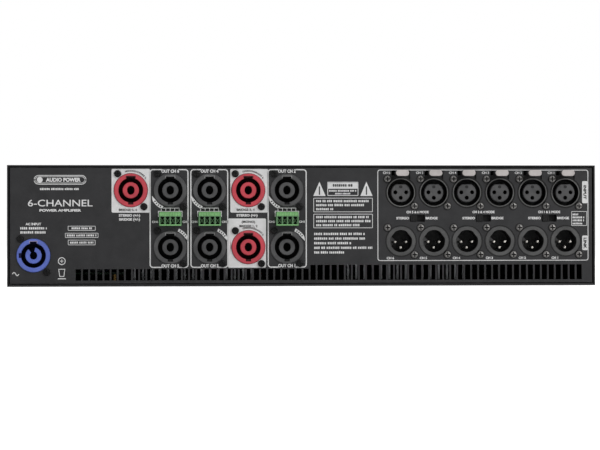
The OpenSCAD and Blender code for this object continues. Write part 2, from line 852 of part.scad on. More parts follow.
module output_board() {
    y = back_y + out_depth + board_gap;
    color([0.1, 0.35, 0.2]) block([-140, y, 16], [3, y + board_t, 83]);
}

module control_board() {
    color([0.1, 0.35, 0.2])
        block([rocker_x + 12, control_y - board_t, 20], [knob_x1 + 14, control_y, 76]);
    color([0.1, 0.35, 0.2])
        block([rocker_x - 8, control_y - board_t, 54], [rocker_x + 13, control_y, 76]);
}

module board_spacers() {
    color([0.75, 0.7, 0.5]) {
        for (s = [-1, 1], x = [-38, 38], y = [-142, 52])
            translate([s * sink_x + x, y, sink_top]) cylinder(r = 3, h = amp_board_z - sink_top);
        for (x = [-30, 30], y = [-143, 112])
            translate([supply_x + x, y, sheet_t]) cylinder(r = 3, h = supply_z - sheet_t);
    }
}

module signal_ribbon() {
    y0 = back_y + in_depth + board_t;
    y1 = control_y - board_t;
    color([0.6, 0.6, 0.62]) {
        block([60, y0 + 4, 71], [84, y1 - 4, 72]);
        block([58, y0, 67.5], [86, y0 + 6, 75.5]);
        block([58, y1 - 6, 67.5], [83.9, y1, 75.5]);
    }
}

chassis_tray();
rear_panel();
top_cover();
front_panel();
handle(1);  // left_handle
handle(-1);  // right_handle
intake_grilles();
dust_filters();
fan_frame(1);  // left_fan_frame
fan_frame(-1);  // right_fan_frame
fan_rotor(1);  // left_fan_rotor
fan_rotor(-1);  // right_fan_rotor
heatsinks();
amplifier_boards();
power_transistors();
output_chokes();
power_supply_board();
supply_transformer();
supply_capacitors();
input_board();
output_board();
control_board();
board_spacers();
signal_ribbon();
gain_pots();
for (i = [1:6]) gain_knob(i);
power_switch_body();
power_rocker();
signal_lamps();
clip_lamps();
power_lamp();
mains_inlet();
output_sockets();
bridge_sockets();
terminal_headers();
for (i = [1:3]) terminal_plug(i);
input_sockets();
link_sockets();
link_pins();
for (i = [1:6]) input_latch(i);
mode_switch_bodies();
for (i = [1:3]) mode_slider(i);
input_screws();
output_screws();
cover_screws();
front_screws();
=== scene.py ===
"""Visual model of a two-unit, six-channel power amplifier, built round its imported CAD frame.

Lengths are millimetres unless a name or a docstring says otherwise. +X is to the right when facing the rear,
-Y is the rear, +Y the front and Z = 0 the underside. A Shape holds a mesh in millimetres, and add_piece
writes shapes into Blender in metres. Places come from the boxes of the CAD nodes and of their solids.
"""

import json
import logging
import math
from dataclasses import dataclass
from enum import Enum
from functools import lru_cache
from typing import Any, Sequence

import bpy
import numpy as np
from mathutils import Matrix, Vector
from mathutils.geometry import delaunay_2d_cdt


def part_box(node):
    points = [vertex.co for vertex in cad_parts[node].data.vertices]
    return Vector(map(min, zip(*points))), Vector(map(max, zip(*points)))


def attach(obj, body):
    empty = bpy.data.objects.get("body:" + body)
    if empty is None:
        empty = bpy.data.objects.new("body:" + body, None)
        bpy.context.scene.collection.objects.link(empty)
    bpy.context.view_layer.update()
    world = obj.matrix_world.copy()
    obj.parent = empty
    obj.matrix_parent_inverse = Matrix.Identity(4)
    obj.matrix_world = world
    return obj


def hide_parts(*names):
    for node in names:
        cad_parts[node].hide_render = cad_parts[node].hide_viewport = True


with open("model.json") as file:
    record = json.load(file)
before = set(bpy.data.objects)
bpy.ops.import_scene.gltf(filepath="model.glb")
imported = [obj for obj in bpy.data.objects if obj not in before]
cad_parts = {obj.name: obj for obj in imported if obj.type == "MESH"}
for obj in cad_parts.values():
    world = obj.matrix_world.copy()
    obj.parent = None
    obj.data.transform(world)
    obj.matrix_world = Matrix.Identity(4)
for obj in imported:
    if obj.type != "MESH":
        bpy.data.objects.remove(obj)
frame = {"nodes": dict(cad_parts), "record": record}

LOG = logging.getLogger("amplifier")
MM = 0.001
TURN = 2 * math.pi
WELD = 1e-4
PANEL_THICK = 1.5
Array = np.ndarray
Value = float | Array
Socket = bpy.types.NodeSocket


# ------------------------------------------------------------------ shapes


class Axis(Enum):
    """The axis that a flat outline is carried along: where its two coordinates and its depth go."""

    X = (1, 2, 0)
    Y = (0, 2, 1)
    Z = (0, 1, 2)


@dataclass(frozen=True)
class Shape:
    """A mesh in millimetres: points, four-cornered faces (a corner may repeat), a finish number per face."""

    points: Array
    faces: Array
    paint: Array

    def moved(self, x: float = 0.0, y: float = 0.0, z: float = 0.0) -> "Shape":
        """The shape shifted by x, y and z."""
        return Shape(self.points + np.array([x, y, z]), self.faces, self.paint)

    def turned(self, axis: Axis, degrees: float) -> "Shape":
        """The shape turned about an axis through the origin.

        Args:
            axis: the axis of the turn.
            degrees: the angle, from the axis's first coordinate towards its second.

        Returns:
            The turned shape, with its faces still outwards.
        """
        first, second, _ = axis.value
        c, s = math.cos(math.radians(degrees)), math.sin(math.radians(degrees))
        points = self.points.copy()
        points[:, first] = c * self.points[:, first] - s * self.points[:, second]
        points[:, second] = s * self.points[:, first] + c * self.points[:, second]
        return Shape(points, self.faces, self.paint)

    def copies(self, places: Array) -> "Shape":
        """The shape repeated at each of the places, an n x 3 array of shifts.

        Args:
            places: an n x 3 array of shifts.

        Returns:
            One shape that holds every copy.
        """
        places = np.asarray(places, float)
        steps = len(self.points) * np.arange(len(places))
        points = (self.points[None] + places[:, None]).reshape(-1, 3)
        faces = (self.faces[None] + steps[:, None, None]).reshape(-1, 4)
        return Shape(points, faces, np.tile(self.paint, len(places)))

    def painted(self, number: int) -> "Shape":
        """The shape with one finish number on all its faces."""
        return Shape(self.points, self.faces, np.full(len(self.faces), number))

    def welded(self) -> "Shape":
        """The shape with points that lie together made one, and the faces that this flattens dropped.

        Returns:
            The shape with points within WELD of each other shared.
        """
        keys = np.round(self.points / WELD).astype(np.int64)
        _, first, index = np.unique(keys, axis=0, return_index=True, return_inverse=True)
        faces = index.reshape(-1)[self.faces]
        distinct = faces != np.roll(faces, 1, axis=1)
        folded = (faces[:, 0] == faces[:, 2]) | (faces[:, 1] == faces[:, 3])
        keep = (distinct.sum(1) == 4) & ~folded | (distinct.sum(1) == 3)
        return Shape(self.points[first], faces[keep], self.paint[keep])

    def outward(self) -> "Shape":
        """The closed shape with its faces outwards: all are turned over if its signed volume is negative.

        Returns:
            The shape, turned over or as it was.
        """
        a, b, c, d = (self.points[self.faces[:, k]] for k in range(4))
        volume = np.einsum("ij,ij->", a, np.cross(b, c)) + np.einsum("ij,ij->", a, np.cross(c, d))
        faces = self.faces if volume > 0 else self.faces[:, ::-1]
        return Shape(self.points, faces, self.paint)


def join(shapes: Sequence[Shape]) -> Shape:
    """One shape that holds all the given ones.

    Args:
        shapes: the shapes, each with its own finish numbers.

    Returns:
        The one shape.
    """
    starts = np.cumsum([0] + [len(s.points) for s in shapes[:-1]])
    return Shape(
        np.concatenate([s.points for s in shapes]),
        np.concatenate([s.faces + start for s, start in zip(shapes, starts)]),
        np.concatenate([s.paint for s in shapes]),
    )


def surface(points: Array, around: bool = True, loop: bool = False,
            paint: Sequence[int] | None = None) -> Shape:
    """A grid of points as a closed surface.

    Args:
        points: rows x columns x 3; rows that shrink to one point close the surface there.
        around: whether the last column joins the first.
        loop: whether the last row joins the first.
        paint: a finish number for each band between two rows.

    Returns:
        The welded surface, with its faces outwards.
    """
    rows, columns = points.shape[:2]
    index = np.arange(rows * columns).reshape(rows, columns)
    if around:
        index = np.concatenate([index, index[:, :1]], axis=1)
    if loop:
        index = np.concatenate([index, index[:1]])
    corners = [index[:-1, :-1], index[:-1, 1:], index[1:, 1:], index[1:, :-1]]
    bands = np.asarray(paint if paint is not None else [0] * (len(index) - 1))
    numbers = np.repeat(bands, index.shape[1] - 1)
    return Shape(points.reshape(-1, 3), np.stack(corners, -1).reshape(-1, 4), numbers).welded().outward()


def circle_angles(sides: int, extra: Sequence[float] = ()) -> Array:
    """Angles round a circle in radians: an even spread, with extra exact ones put in.

    Args:
        sides: number of evenly spread angles.
        extra: more angles, in any order.

    Returns:
        The angles in order. Of two that nearly coincide, one is left out.
    """
    even = np.arange(sides) * TURN / sides
    angles = np.sort(np.mod(np.concatenate([even, np.asarray(extra, float)]), TURN))
    gaps = np.diff(angles, append=angles[0] + TURN)
    return angles[gaps > 1e-3]


def rings(rows: Sequence[tuple[Value, Value]], angles: Array, loop: bool = False,
          paint: Sequence[int] | None = None) -> Shape:
    """Rings about the Y axis: x = radius cos(angle), z = radius sin(angle), y = depth.

    Args:
        rows: radius and depth of each ring; either may be an array with a value for each angle.
        angles: the ring's angles in radians.
        loop: whether the last ring joins the first, as on a washer.
        paint: a finish number for each band.

    Returns:
        The closed surface. Without loop, the first and the last ring have radius 0.
    """
    radii = np.array([np.broadcast_to(radius, angles.shape) for radius, _ in rows], float)
    depths = np.array([np.broadcast_to(depth, angles.shape) for _, depth in rows], float)
    points = np.stack([radii * np.cos(angles), depths, radii * np.sin(angles)], -1)
    return surface(points, loop=loop, paint=paint)


def rounded_rect(width: float, height: float, radius: float | Sequence[float], steps: int = 4) -> Array:
    """A rectangle about the origin with rounded corners, anticlockwise, as an n x 2 outline.

    Args:
        width: size along the first coordinate.
        height: size along the second.
        radius: one corner radius, or four, from the lower left anticlockwise.
        steps: points in each corner's arc, less one.

    Returns:
        The outline; its number of points depends only on steps.
    """
    radii = np.broadcast_to(radius, 4)
    signs = np.array([[-1, -1], [1, -1], [1, 1], [-1, 1]])
    arc = np.linspace(0, math.pi / 2, steps + 1)
    angles = math.pi + np.arange(4)[:, None] * math.pi / 2 + arc
    centres = signs * (np.array([width, height]) / 2 - radii[:, None])
    turn = np.stack([np.cos(angles), np.sin(angles)], -1) * radii[:, None, None]
    return (centres[:, None] + turn).reshape(-1, 2)


def loft(rows: Sequence[tuple[Array, float]], axis: Axis = Axis.Y) -> Shape:
    """Convex outlines one behind another along an axis, each joined to the next and closed at both ends.

    Args:
        rows: outline and depth of each section, all with the same number of points.
        axis: the axis that the depths run along.

    Returns:
        The closed shape.
    """
    first, last = rows[0], rows[-1]
    closed = [(first[0] * 0 + first[0].mean(0), first[1]), *rows, (last[0] * 0 + last[0].mean(0), last[1])]
    points = np.array([np.column_stack([outline, np.full(len(outline), y)]) for outline, y in closed])
    placed = np.empty_like(points)
    placed[..., list(axis.value)] = points
    return surface(placed)


def block(width: float, height: float, low: float, high: float, radius: float = 0.3, edge: float = 0.2,
          axis: Axis = Axis.Y) -> Shape:
    """A block centred on an axis, with a radius on its four long corners and a bevel at its ends.

    Args:
        width: size along the first coordinate.
        height: size along the second.
        low: where it begins along the axis.
        high: where it ends.
        radius: of its long corners.
        edge: width of the bevel at its ends.
        axis: the axis.

    Returns:
        The closed block.
    """
    full = rounded_rect(width, height, radius)
    inner = rounded_rect(width - 2 * edge, height - 2 * edge, max(radius - edge, 0.02))
    return loft([(inner, low), (full, low + edge), (full, high - edge), (inner, high)], axis)


def prism(outline: Array, low: float, high: float, holes: Sequence[Array] = (), axis: Axis = Axis.Y) -> Shape:
    """A flat region, which may have holes and hollows, carried from low to high along an axis.

    Args:
        outline: the region's outer edge, n x 2.
        low: where it begins along the axis.
        high: where it ends.
        holes: the edges of its holes.
        axis: the axis.

    Returns:
        The closed solid. The two ends are a Delaunay filling of the region between the edges.
    """
    loops = [wound(outline, True), *(wound(hole, False) for hole in holes)]
    starts = np.cumsum([0] + [len(loop) for loop in loops])
    rims = [list(range(a, b)) for a, b in zip(starts[:-1], starts[1:])]
    filled = delaunay_2d_cdt([Vector(p) for p in np.concatenate(loops)], [], rims, 2, 1e-5)
    flat = np.array([tuple(p) for p in filled[0]])
    triangles = np.array([tuple(face) for face in filled[2]])
    caps = triangles[:, [0, 1, 2, 2]]
    walls = np.concatenate([np.column_stack([rim, np.roll(rim, -1)]) for rim in rims])
    edge = np.concatenate(loops)
    n, m = len(flat), len(edge)
    points = np.concatenate([
        np.column_stack([flat, np.full(n, high)]), np.column_stack([flat, np.full(n, low)]),
        np.column_stack([edge, np.full(m, low)]), np.column_stack([edge, np.full(m, high)]),
    ])
    sides = np.column_stack([walls[:, 0], walls[:, 1], walls[:, 1] + m, walls[:, 0] + m]) + 2 * n
    faces = np.concatenate([caps, caps[:, ::-1] + n, sides])
    placed = np.empty_like(points)
    placed[:, list(axis.value)] = points
    return Shape(placed, faces, np.zeros(len(faces), int)).welded().outward()


def wound(outline: Array, left: bool) -> Array:
    """The outline in the wanted sense: left is anticlockwise, by the sign of its area.

    Args:
        outline: the outline, n x 2.
        left: whether it should be anticlockwise.

    Returns:
        The outline, reversed or as it was.
    """
    x, y = outline[:, 0], outline[:, 1]
    area = np.sum(x * np.roll(y, -1) - y * np.roll(x, -1))
    return outline if (area > 0) == left else outline[::-1]


def circle(radius: float, sides: int = 24, x: float = 0.0, z: float = 0.0) -> Array:
    """A circle as an outline."""
    angles = circle_angles(sides)
    return np.column_stack([x + radius * np.cos(angles), z + radius * np.sin(angles)])


def tube(path: Array, radius: Value, across: Array, sides: int = 16, loop: bool = False) -> Shape:
    """A round bar along a path: a circle carried along it, square to the path's direction.

    Args:
        path: k x 3 points.
        radius: the bar's radius, or one for each point.
        across: a direction, or one for each point, that is never along the path.
        sides: points round the bar.
        loop: whether the path closes on itself.

    Returns:
        The closed bar, its ends flat unless it is a loop.
    """
    if loop:
        along = np.roll(path, -1, axis=0) - np.roll(path, 1, axis=0)
    else:
        along = np.gradient(path, axis=0)
    along = along / np.linalg.norm(along, axis=1, keepdims=True)
    side = across - along * np.sum(along * across, axis=1, keepdims=True)
    side = side / np.linalg.norm(side, axis=1, keepdims=True)
    up = np.cross(along, side)
    angles = circle_angles(sides)[None, :, None]
    reach = np.broadcast_to(radius, len(path))[:, None, None]
    grid = path[:, None] + reach * (np.cos(angles) * side[:, None] + np.sin(angles) * up[:, None])
    if not loop:
        caps = [np.broadcast_to(p, (1, sides, 3)) for p in (path[0], path[-1])]
        grid = np.concatenate([caps[0], grid, caps[1]])
    return surface(grid, loop=loop)


# ------------------------------------------------------------------ frame and pieces


def node_box(node: str) -> tuple[Array, Array]:
    """Lowest and highest corner of a CAD node, in millimetres."""
    low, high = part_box(node)
    return np.array(low) / MM, np.array(high) / MM


def solids(node: str) -> list[tuple[Array, Array]]:
    """Boxes of a CAD node's separate solids, in millimetres, by X and then by Z.

    Triangles that share a corner belong together: each takes the lowest number among its corners, again
    and again, until nothing changes.
    """
    mesh = frame["nodes"][node].data
    points = np.empty(len(mesh.vertices) * 3)
    mesh.vertices.foreach_get("co", points)
    points = points.reshape(-1, 3) / MM
    mesh.calc_loop_triangles()
    corners = np.empty(len(mesh.loop_triangles) * 3, int)
    mesh.loop_triangles.foreach_get("vertices", corners)
    _, index = np.unique(np.round(points, 3), axis=0, return_inverse=True)
    triangles = index.reshape(-1)[corners].reshape(-1, 3)
    label = np.arange(index.max() + 1)
    while True:
        lowest = label[triangles].min(1)
        settled = label.copy()
        np.minimum.at(settled, triangles, lowest[:, None])
        settled = settled[settled]
        if np.array_equal(settled, label):
            break
        label = settled
    of_point = label[index.reshape(-1)]
    boxes = [(points[of_point == k].min(0), points[of_point == k].max(0)) for k in np.unique(of_point)]
    return sorted(boxes, key=lambda b: (round(b[0][0] + b[1][0], 1), round(b[0][2] + b[1][2], 1)))


def centres(node: str, y: float, rise: float | None = None) -> Array:
    """Places of a node's widest solids: the middle of each box in X and Z, or rise above its foot.

    Args:
        node: the CAD node.
        y: the depth that every place gets.
        rise: height of the wanted centre above the box's lowest edge.

    Returns:
        An n x 3 array.
    """
    boxes = solids(node)
    widest = max(high[0] - low[0] for low, high in boxes)
    boxes = [(low, high) for low, high in boxes if high[0] - low[0] > 0.9 * widest]
    middle = np.array([(low + high) / 2 for low, high in boxes])
    height = middle[:, 2] if rise is None else np.array([low[2] + rise for low, _ in boxes])
    return np.column_stack([middle[:, 0], np.full(len(boxes), y), height])


def body_of(node: str) -> str:
    """The body that a CAD node belongs to."""
    return next(b for b, nodes in frame["record"]["behaviour"]["bodies"].items() if node in nodes)


def add_piece(name: str, shapes: Sequence[Shape], finishes: "Sequence[Finish]", node: str,
              stands_for: bool = True, crease: float = 32.0) -> bpy.types.Object:
    """Writes shapes into one Blender object in metres, dresses it and ties it to its node's body.

    Args:
        name: the piece's name.
        shapes: its shapes; their finish numbers index finishes.
        finishes: its finishes.
        node: the CAD node whose body it rides on.
        stands_for: whether it is shown in place of that node.
        crease: edges that turn by more than this many degrees stay sharp.

    Returns:
        The object.
    """
    shape = join(shapes)
    distinct = shape.faces != np.roll(shape.faces, 1, axis=1)
    counts = distinct.sum(1)
    mesh = bpy.data.meshes.new(name)
    mesh.vertices.add(len(shape.points))
    mesh.vertices.foreach_set("co", (shape.points * MM).ravel())
    mesh.loops.add(int(counts.sum()))
    mesh.loops.foreach_set("vertex_index", shape.faces[distinct])
    mesh.polygons.add(len(counts))
    mesh.polygons.foreach_set("loop_start", np.cumsum(counts) - counts)
    mesh.polygons.foreach_set("loop_total", counts)
    mesh.polygons.foreach_set("material_index", shape.paint.astype(np.int32))
    mesh.polygons.foreach_set("use_smooth", np.ones(len(counts), bool))
    mesh.update(calc_edges=True)
    mesh.validate()
    mesh.set_sharp_from_angle(angle=math.radians(crease))
    for finish in finishes:
        mesh.materials.append(finish.material())
    piece = bpy.data.objects.new(name, mesh)
    bpy.context.scene.collection.objects.link(piece)
    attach(piece, body_of(node))
    if stands_for:
        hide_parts(node)
    LOG.info("%s: %d faces, rides on %s", name, len(counts), body_of(node))
    return piece


def dress(finish: "Finish", *nodes: str) -> None:
    """Gives CAD nodes that stay in view a finish.

    Args:
        finish: the finish.
        nodes: the names of the nodes.
    """
    for node in nodes:
        mesh = frame["nodes"][node].data
        mesh.materials.clear()
        mesh.materials.append(finish.material())
        LOG.info("%s: CAD node, %s", node, finish.name)


# ------------------------------------------------------------------ finishes


class Graph:
    """A material's node tree, built with short calls. Pattern sizes are in millimetres."""

    def __init__(self, name: str) -> None:
        """Starts a material that holds only its shader and the object's own coordinates."""
        self.material = bpy.data.materials.new(name)
        self.material.use_nodes = True
        self.tree = self.material.node_tree
        self.shader = next(n for n in self.tree.nodes if n.type == "BSDF_PRINCIPLED")
        self.place = self.node("TexCoord").outputs["Object"]

    def node(self, kind: str, inputs: dict[Any, Any] | None = None, **settings: Any) -> bpy.types.Node:
        """A new node. inputs maps a socket's name or number to a value or to another node's output.

        Args:
            kind: the kind of node, less its common prefix.
            inputs: what each input gets.
            settings: the node's own settings.

        Returns:
            The node.
        """
        made = self.tree.nodes.new("ShaderNode" + kind)
        for name, value in settings.items():
            setattr(made, name, value)
        for key, value in (inputs or {}).items():
            if isinstance(value, Socket):
                self.tree.links.new(value, made.inputs[key])
            else:
                made.inputs[key].default_value = value
        return made

    def link(self, output: Socket, name: str) -> None:
        """Joins an output to one of the shader's inputs."""
        self.tree.links.new(output, self.shader.inputs[name])

    def stretched(self, x: float, y: float, z: float) -> Socket:
        """The object's coordinates, scaled along each axis."""
        return self.node("VectorMath", {0: self.place, 1: (x, y, z)}, operation="MULTIPLY").outputs[0]

    def noise(self, size: float, detail: float = 2.0, vector: Socket | None = None) -> Socket:
        """Soft noise from 0 to 1, with features of the given size."""
        inputs = {"Vector": vector or self.place, "Scale": 1 / (size * MM), "Detail": detail}
        return self.node("TexNoise", inputs).outputs[0]

    def cells(self, size: float, vector: Socket | None = None) -> Socket:
        """Distance to the nearest of a scatter of points, as in foam or grain."""
        return self.node("TexVoronoi", {"Vector": vector or self.place, "Scale": 1 / (size * MM)}).outputs[0]

    def spread(self, value: Socket, low: float, high: float, start: float = 0.0,
               end: float = 1.0) -> Socket:
        """value from start to end, spread over low to high."""
        inputs = {"Value": value, "From Min": start, "From Max": end, "To Min": low, "To Max": high}
        return self.node("MapRange", inputs).outputs[0]

    def maths(self, operation: str, a: Any, b: Any = 0.0) -> Socket:
        """One step of arithmetic."""
        return self.node("Math", {0: a, 1: b}, operation=operation).outputs[0]

    def mixed(self, factor: Any, a: Any, b: Any) -> Socket:
        """A colour between a and b."""
        return self.node("Mix", {0: factor, 6: a, 7: b}, data_type="RGBA").outputs[2]

    def part(self, axis: int) -> Socket:
        """The object's X, Y or Z coordinate, in metres."""
        return self.node("SeparateXYZ", {0: self.place}).outputs[axis]

    def edge(self, radius: float) -> Socket:
        """1 on sharp edges and 0 on flats: how far a rounded normal leans from the true one.

        Args:
            radius: the rounding, in millimetres.

        Returns:
            The value's socket.
        """
        soft = self.node("Bevel", {"Radius": radius * MM}, samples=6).outputs[0]
        true = self.node("NewGeometry").outputs["Normal"]
        dot = self.node("VectorMath", {0: soft, 1: true}, operation="DOT_PRODUCT").outputs["Value"]
        return self.spread(dot, 1.0, 0.0, 0.86, 0.995)

    def bump(self, height: Socket, relief: float) -> None:
        """Bump on the shader: height from 0 to 1 times relief."""
        made = self.node("Bump", {"Strength": 1.0, "Distance": relief * MM, "Height": height})
        self.link(made.outputs[0], "Normal")


def tint(red: int, green: int, blue: int) -> tuple[float, float, float, float]:
    """A display colour, 0 to 255, as linear light.

    Args:
        red: red, 0 to 255.
        green: green.
        blue: blue.

    Returns:
        Red, green, blue and 1.
    """
    shares = np.array([red, green, blue]) / 255
    linear = np.where(shares <= 0.04045, shares / 12.92, ((shares + 0.055) / 1.055) ** 2.4)
    return (*map(float, linear), 1.0)


@dataclass(frozen=True)
class Finish:
    """Plain finish: a colour with soft mottling, a fine grain and a roughness that wanders a little."""

    name: str
    colour: tuple[int, int, int]
    roughness: float = 0.5
    metallic: float = 0.0
    grain: float = 0.35
    relief: float = 0.01
    mottle: float = 0.12
    sheen_level: float = 0.5
    worn: float = 0.0

    def lighter(self, step: int) -> tuple[float, float, float, float]:
        """The finish's colour with step added to its red, green and blue."""
        return tint(*(min(255, c + step) for c in self.colour))

    def base(self, graph: Graph) -> Socket:
        """The colour before wear: the finish's own, mottled over a few millimetres."""
        dark = tint(*(round(c * (1 - self.mottle)) for c in self.colour))
        light = tint(*(min(255, round(c * (1 + self.mottle))) for c in self.colour))
        return graph.mixed(graph.spread(graph.noise(9.0, 4.0), 0.0, 1.0, 0.3, 0.7), dark, light)

    def height(self, graph: Graph) -> Socket:
        """The relief's pattern, 0 to 1."""
        return graph.noise(self.grain, 2.0)

    def extras(self, graph: Graph) -> None:
        """Settings that only some finishes have."""

    def material(self) -> bpy.types.Material:
        """The material, made once for each name."""
        return _material(self)

    def made(self) -> bpy.types.Material:
        """Builds the material's nodes."""
        graph = Graph(self.name)
        colour = self.base(graph)
        if self.worn:
            patches = graph.spread(graph.noise(3.0), 0.1, 1.0, 0.35, 0.65)
            rub = graph.maths("MULTIPLY", graph.edge(0.35), patches)
            colour = graph.mixed(graph.maths("MULTIPLY", rub, self.worn), colour, self.lighter(95))
        graph.link(colour, "Base Color")
        low, high = max(self.roughness - 0.07, 0.02), min(self.roughness + 0.07, 1.0)
        graph.link(graph.spread(graph.noise(5.0, 3.0), low, high, 0.3, 0.7), "Roughness")
        graph.bump(self.height(graph), self.relief)
        graph.shader.inputs["Metallic"].default_value = self.metallic
        graph.shader.inputs["Specular IOR Level"].default_value = self.sheen_level
        self.extras(graph)
        return graph.material


@lru_cache(maxsize=None)
def _material(finish: Finish) -> bpy.types.Material:
    """One Blender material for each finish."""
    return finish.made()


@dataclass(frozen=True)
class PowderCoat(Finish):
    """Baked powder paint: small rounded grains, with finer speckle between them."""

    def height(self, graph: Graph) -> Socket:
        """Rounded cells, broken up by noise of twice their size."""
        return graph.maths("ADD", graph.cells(self.grain), graph.noise(self.grain * 2.0, 3.0))

    def base(self, graph: Graph) -> Socket:
        """The colour with a fine dust of lighter grains."""
        dust = graph.spread(graph.cells(self.grain * 1.7), 0.35, 0.0, 0.0, 0.35)
        return graph.mixed(dust, Finish.base(self, graph), self.lighter(26))


@dataclass(frozen=True)
class PanelCoatWithShade(PowderCoat):
    """Powder paint on the panel's faces, with near-black painted shade on the cut walls of its holes and at
    the edges of its vents.
    """

    vents: tuple[float, float, float] = (-165.7, 5.17, 3.9)
    count: int = 72
    low: float = 4.3
    tall: tuple[float, float] = (8.4, 11.1)
    short_count: int = 33

    def base(self, graph: Graph) -> Socket:
        """The paint where the surface looks along Y, and near-black painted shade elsewhere and along the
        vents' edges.
        """
        normal = graph.node("NewGeometry").outputs["Normal"]
        facing = graph.node("SeparateXYZ", {0: normal}).outputs[1]
        # Faces that look along Y keep the coat; the rest get painted shade.
        flat = graph.maths("GREATER_THAN", graph.maths("ABSOLUTE", facing), 0.5)
        start, pitch, width = self.vents
        step = graph.maths("DIVIDE", graph.maths("SUBTRACT", graph.part(0), start * MM), pitch * MM)
        bar = graph.maths("SUBTRACT", graph.maths("FRACT", step), (width / pitch + 1) / 2)
        rim = graph.maths("GREATER_THAN", graph.maths("ABSOLUTE", bar), (1 - width / pitch) / 2 * 0.6)
        long = graph.maths("GREATER_THAN", step, self.short_count - 0.2)
        top = graph.spread(long, self.tall[0] * MM, self.tall[1] * MM)
        height = graph.maths("SUBTRACT", graph.part(2), self.low * MM)
        for test, value, limit in (("GREATER_THAN", height, 0.0), ("LESS_THAN", height, top),
                                   ("GREATER_THAN", step, -0.05), ("LESS_THAN", step, self.count - 0.2)):
            rim = graph.maths("MULTIPLY", rim, graph.maths(test, value, limit))
        # The vents' edges are taken out of the coat too, as more near-black painted shade.
        flat = graph.maths("SUBTRACT", flat, rim)
        return graph.mixed(flat, tint(10, 10, 11), PowderCoat.base(self, graph))


@dataclass(frozen=True)
class Brushed(Finish):
    """Metal or anodising with fine straight scratches along one axis."""

    along: Axis = Axis.X

    def height(self, graph: Graph) -> Socket:
        """Noise stretched forty times along the scratches."""
        scale = [1.0, 1.0, 1.0]
        scale[self.along.value[2]] = 0.025
        return graph.noise(self.grain, 4.0, graph.stretched(*scale))


@dataclass(frozen=True)
class CircuitBoard(Finish):
    """Solder mask over copper: square-cornered tracks show a little lighter, with pale pads between them."""

    def base(self, graph: Graph) -> Socket:
        """Tracks where a stepped noise crosses its middle, pads at scattered points."""
        stepped = graph.node("VectorMath", {0: graph.place, 1: (0.0018,) * 3}, operation="SNAP").outputs[0]
        track = graph.maths("GREATER_THAN", graph.noise(9.0, 1.0, stepped), 0.52)
        mask = graph.mixed(track, tint(*self.colour), self.lighter(22))
        pad = graph.maths("LESS_THAN", graph.cells(6.0), 0.11)
        return graph.mixed(pad, mask, tint(188, 190, 186))


@dataclass(frozen=True)
class Foam(Finish):
    """Open-cell foam: dark pores in a soft web."""

    def height(self, graph: Graph) -> Socket:
        """Cells as deep as they are wide."""
        return graph.cells(self.grain)


@dataclass(frozen=True)
class Lens(Finish):
    """Tinted clear plastic that glows a little, as an unlit lamp does under studio light."""

    def extras(self, graph: Graph) -> None:
        """Clear body with a hard gloss."""
        graph.shader.inputs["Transmission Weight"].default_value = 0.35
        graph.shader.inputs["IOR"].default_value = 1.49


@dataclass(frozen=True)
class Striped(Finish):
    """Flat cable: parallel wires along Y under one grey jacket, each a low round ridge."""

    pitch: float = 1.27

    def height(self, graph: Graph) -> Socket:
        """A half wave for each wire across X."""
        turns = graph.maths("MULTIPLY", graph.part(0), math.pi / (self.pitch * MM))
        return graph.maths("ABSOLUTE", graph.maths("SINE", turns))


@dataclass(frozen=True)
class Layered(Finish):
    """Stacked steel sheets, seen as fine lines across Y."""

    def height(self, graph: Graph) -> Socket:
        """A saw tooth every half millimetre along Y."""
        return graph.maths("FRACT", graph.maths("MULTIPLY", graph.part(1), 1 / (0.5 * MM)))


CASE_PAINT = PowderCoat("case_paint", (13, 13, 14), 0.5, grain=0.25, relief=0.02, worn=0.1, sheen_level=0.3)
PANEL_PAINT_AND_SHADE = PanelCoatWithShade("panel_paint", (40, 40, 42), 0.52, grain=0.4, relief=0.02, worn=0.4)
TRAY_PAINT = PowderCoat("tray_paint", (32, 32, 34), 0.5, grain=0.4, relief=0.02, worn=0.3)
FRONT_FACE = Brushed("front_anodised", (24, 24, 26), 0.36, 0.55, grain=0.12, relief=0.006, worn=0.4)
HANDLE_METAL = Brushed("handle_metal", (30, 30, 32), 0.3, 0.7, grain=0.1, relief=0.004, along=Axis.Z)
INK = Finish("print_white", (230, 230, 230), 0.55, grain=0.2, relief=0.004, mottle=0.03)
DARK_INK = Finish("print_dark", (34, 30, 31), 0.55, grain=0.2, relief=0.004, mottle=0.03)
GREY_INK = Finish("print_grey", (150, 146, 146), 0.55, grain=0.2, relief=0.004, mottle=0.03)
BLACK_INK_AND_SHADE = Finish("print_black_and_shade", (9, 9, 10), 0.6, grain=0.2, relief=0.004, mottle=0.03)
SOCKET_BODY = Finish("socket_grey", (80, 80, 81), 0.42, grain=0.25, relief=0.006)
SOCKET_WELL_SHADE = Finish("socket_well_shade", (11, 11, 12), 0.6, grain=0.25, relief=0.006, sheen_level=0.3)
SOCKET_PAINTED_RIM = Finish("socket_painted_rim", (150, 150, 150), 0.4, grain=0.25, relief=0.006)
RED_BODY = Finish("red_plastic", (206, 72, 84), 0.38, grain=0.25, relief=0.006, mottle=0.05)
RED_WELL_SHADE = Finish("red_well_shade", (58, 8, 14), 0.6, grain=0.25, relief=0.006, mottle=0.05, sheen_level=0.3)
RED_PAINTED_RIM = Finish("red_painted_rim", (120, 50, 56), 0.45, grain=0.25, relief=0.006, mottle=0.05)
BLUE_BODY = Finish("blue_plastic", (98, 118, 206), 0.38, grain=0.25, relief=0.006, mottle=0.05)
BLUE_WELL_SHADE = Finish("blue_well_shade", (6, 8, 62), 0.6, grain=0.25, relief=0.006, mottle=0.05, sheen_level=0.3)
BLUE_PAINTED_RIM = Finish("blue_painted_rim", (176, 168, 214), 0.4, grain=0.25, relief=0.006, mottle=0.05)
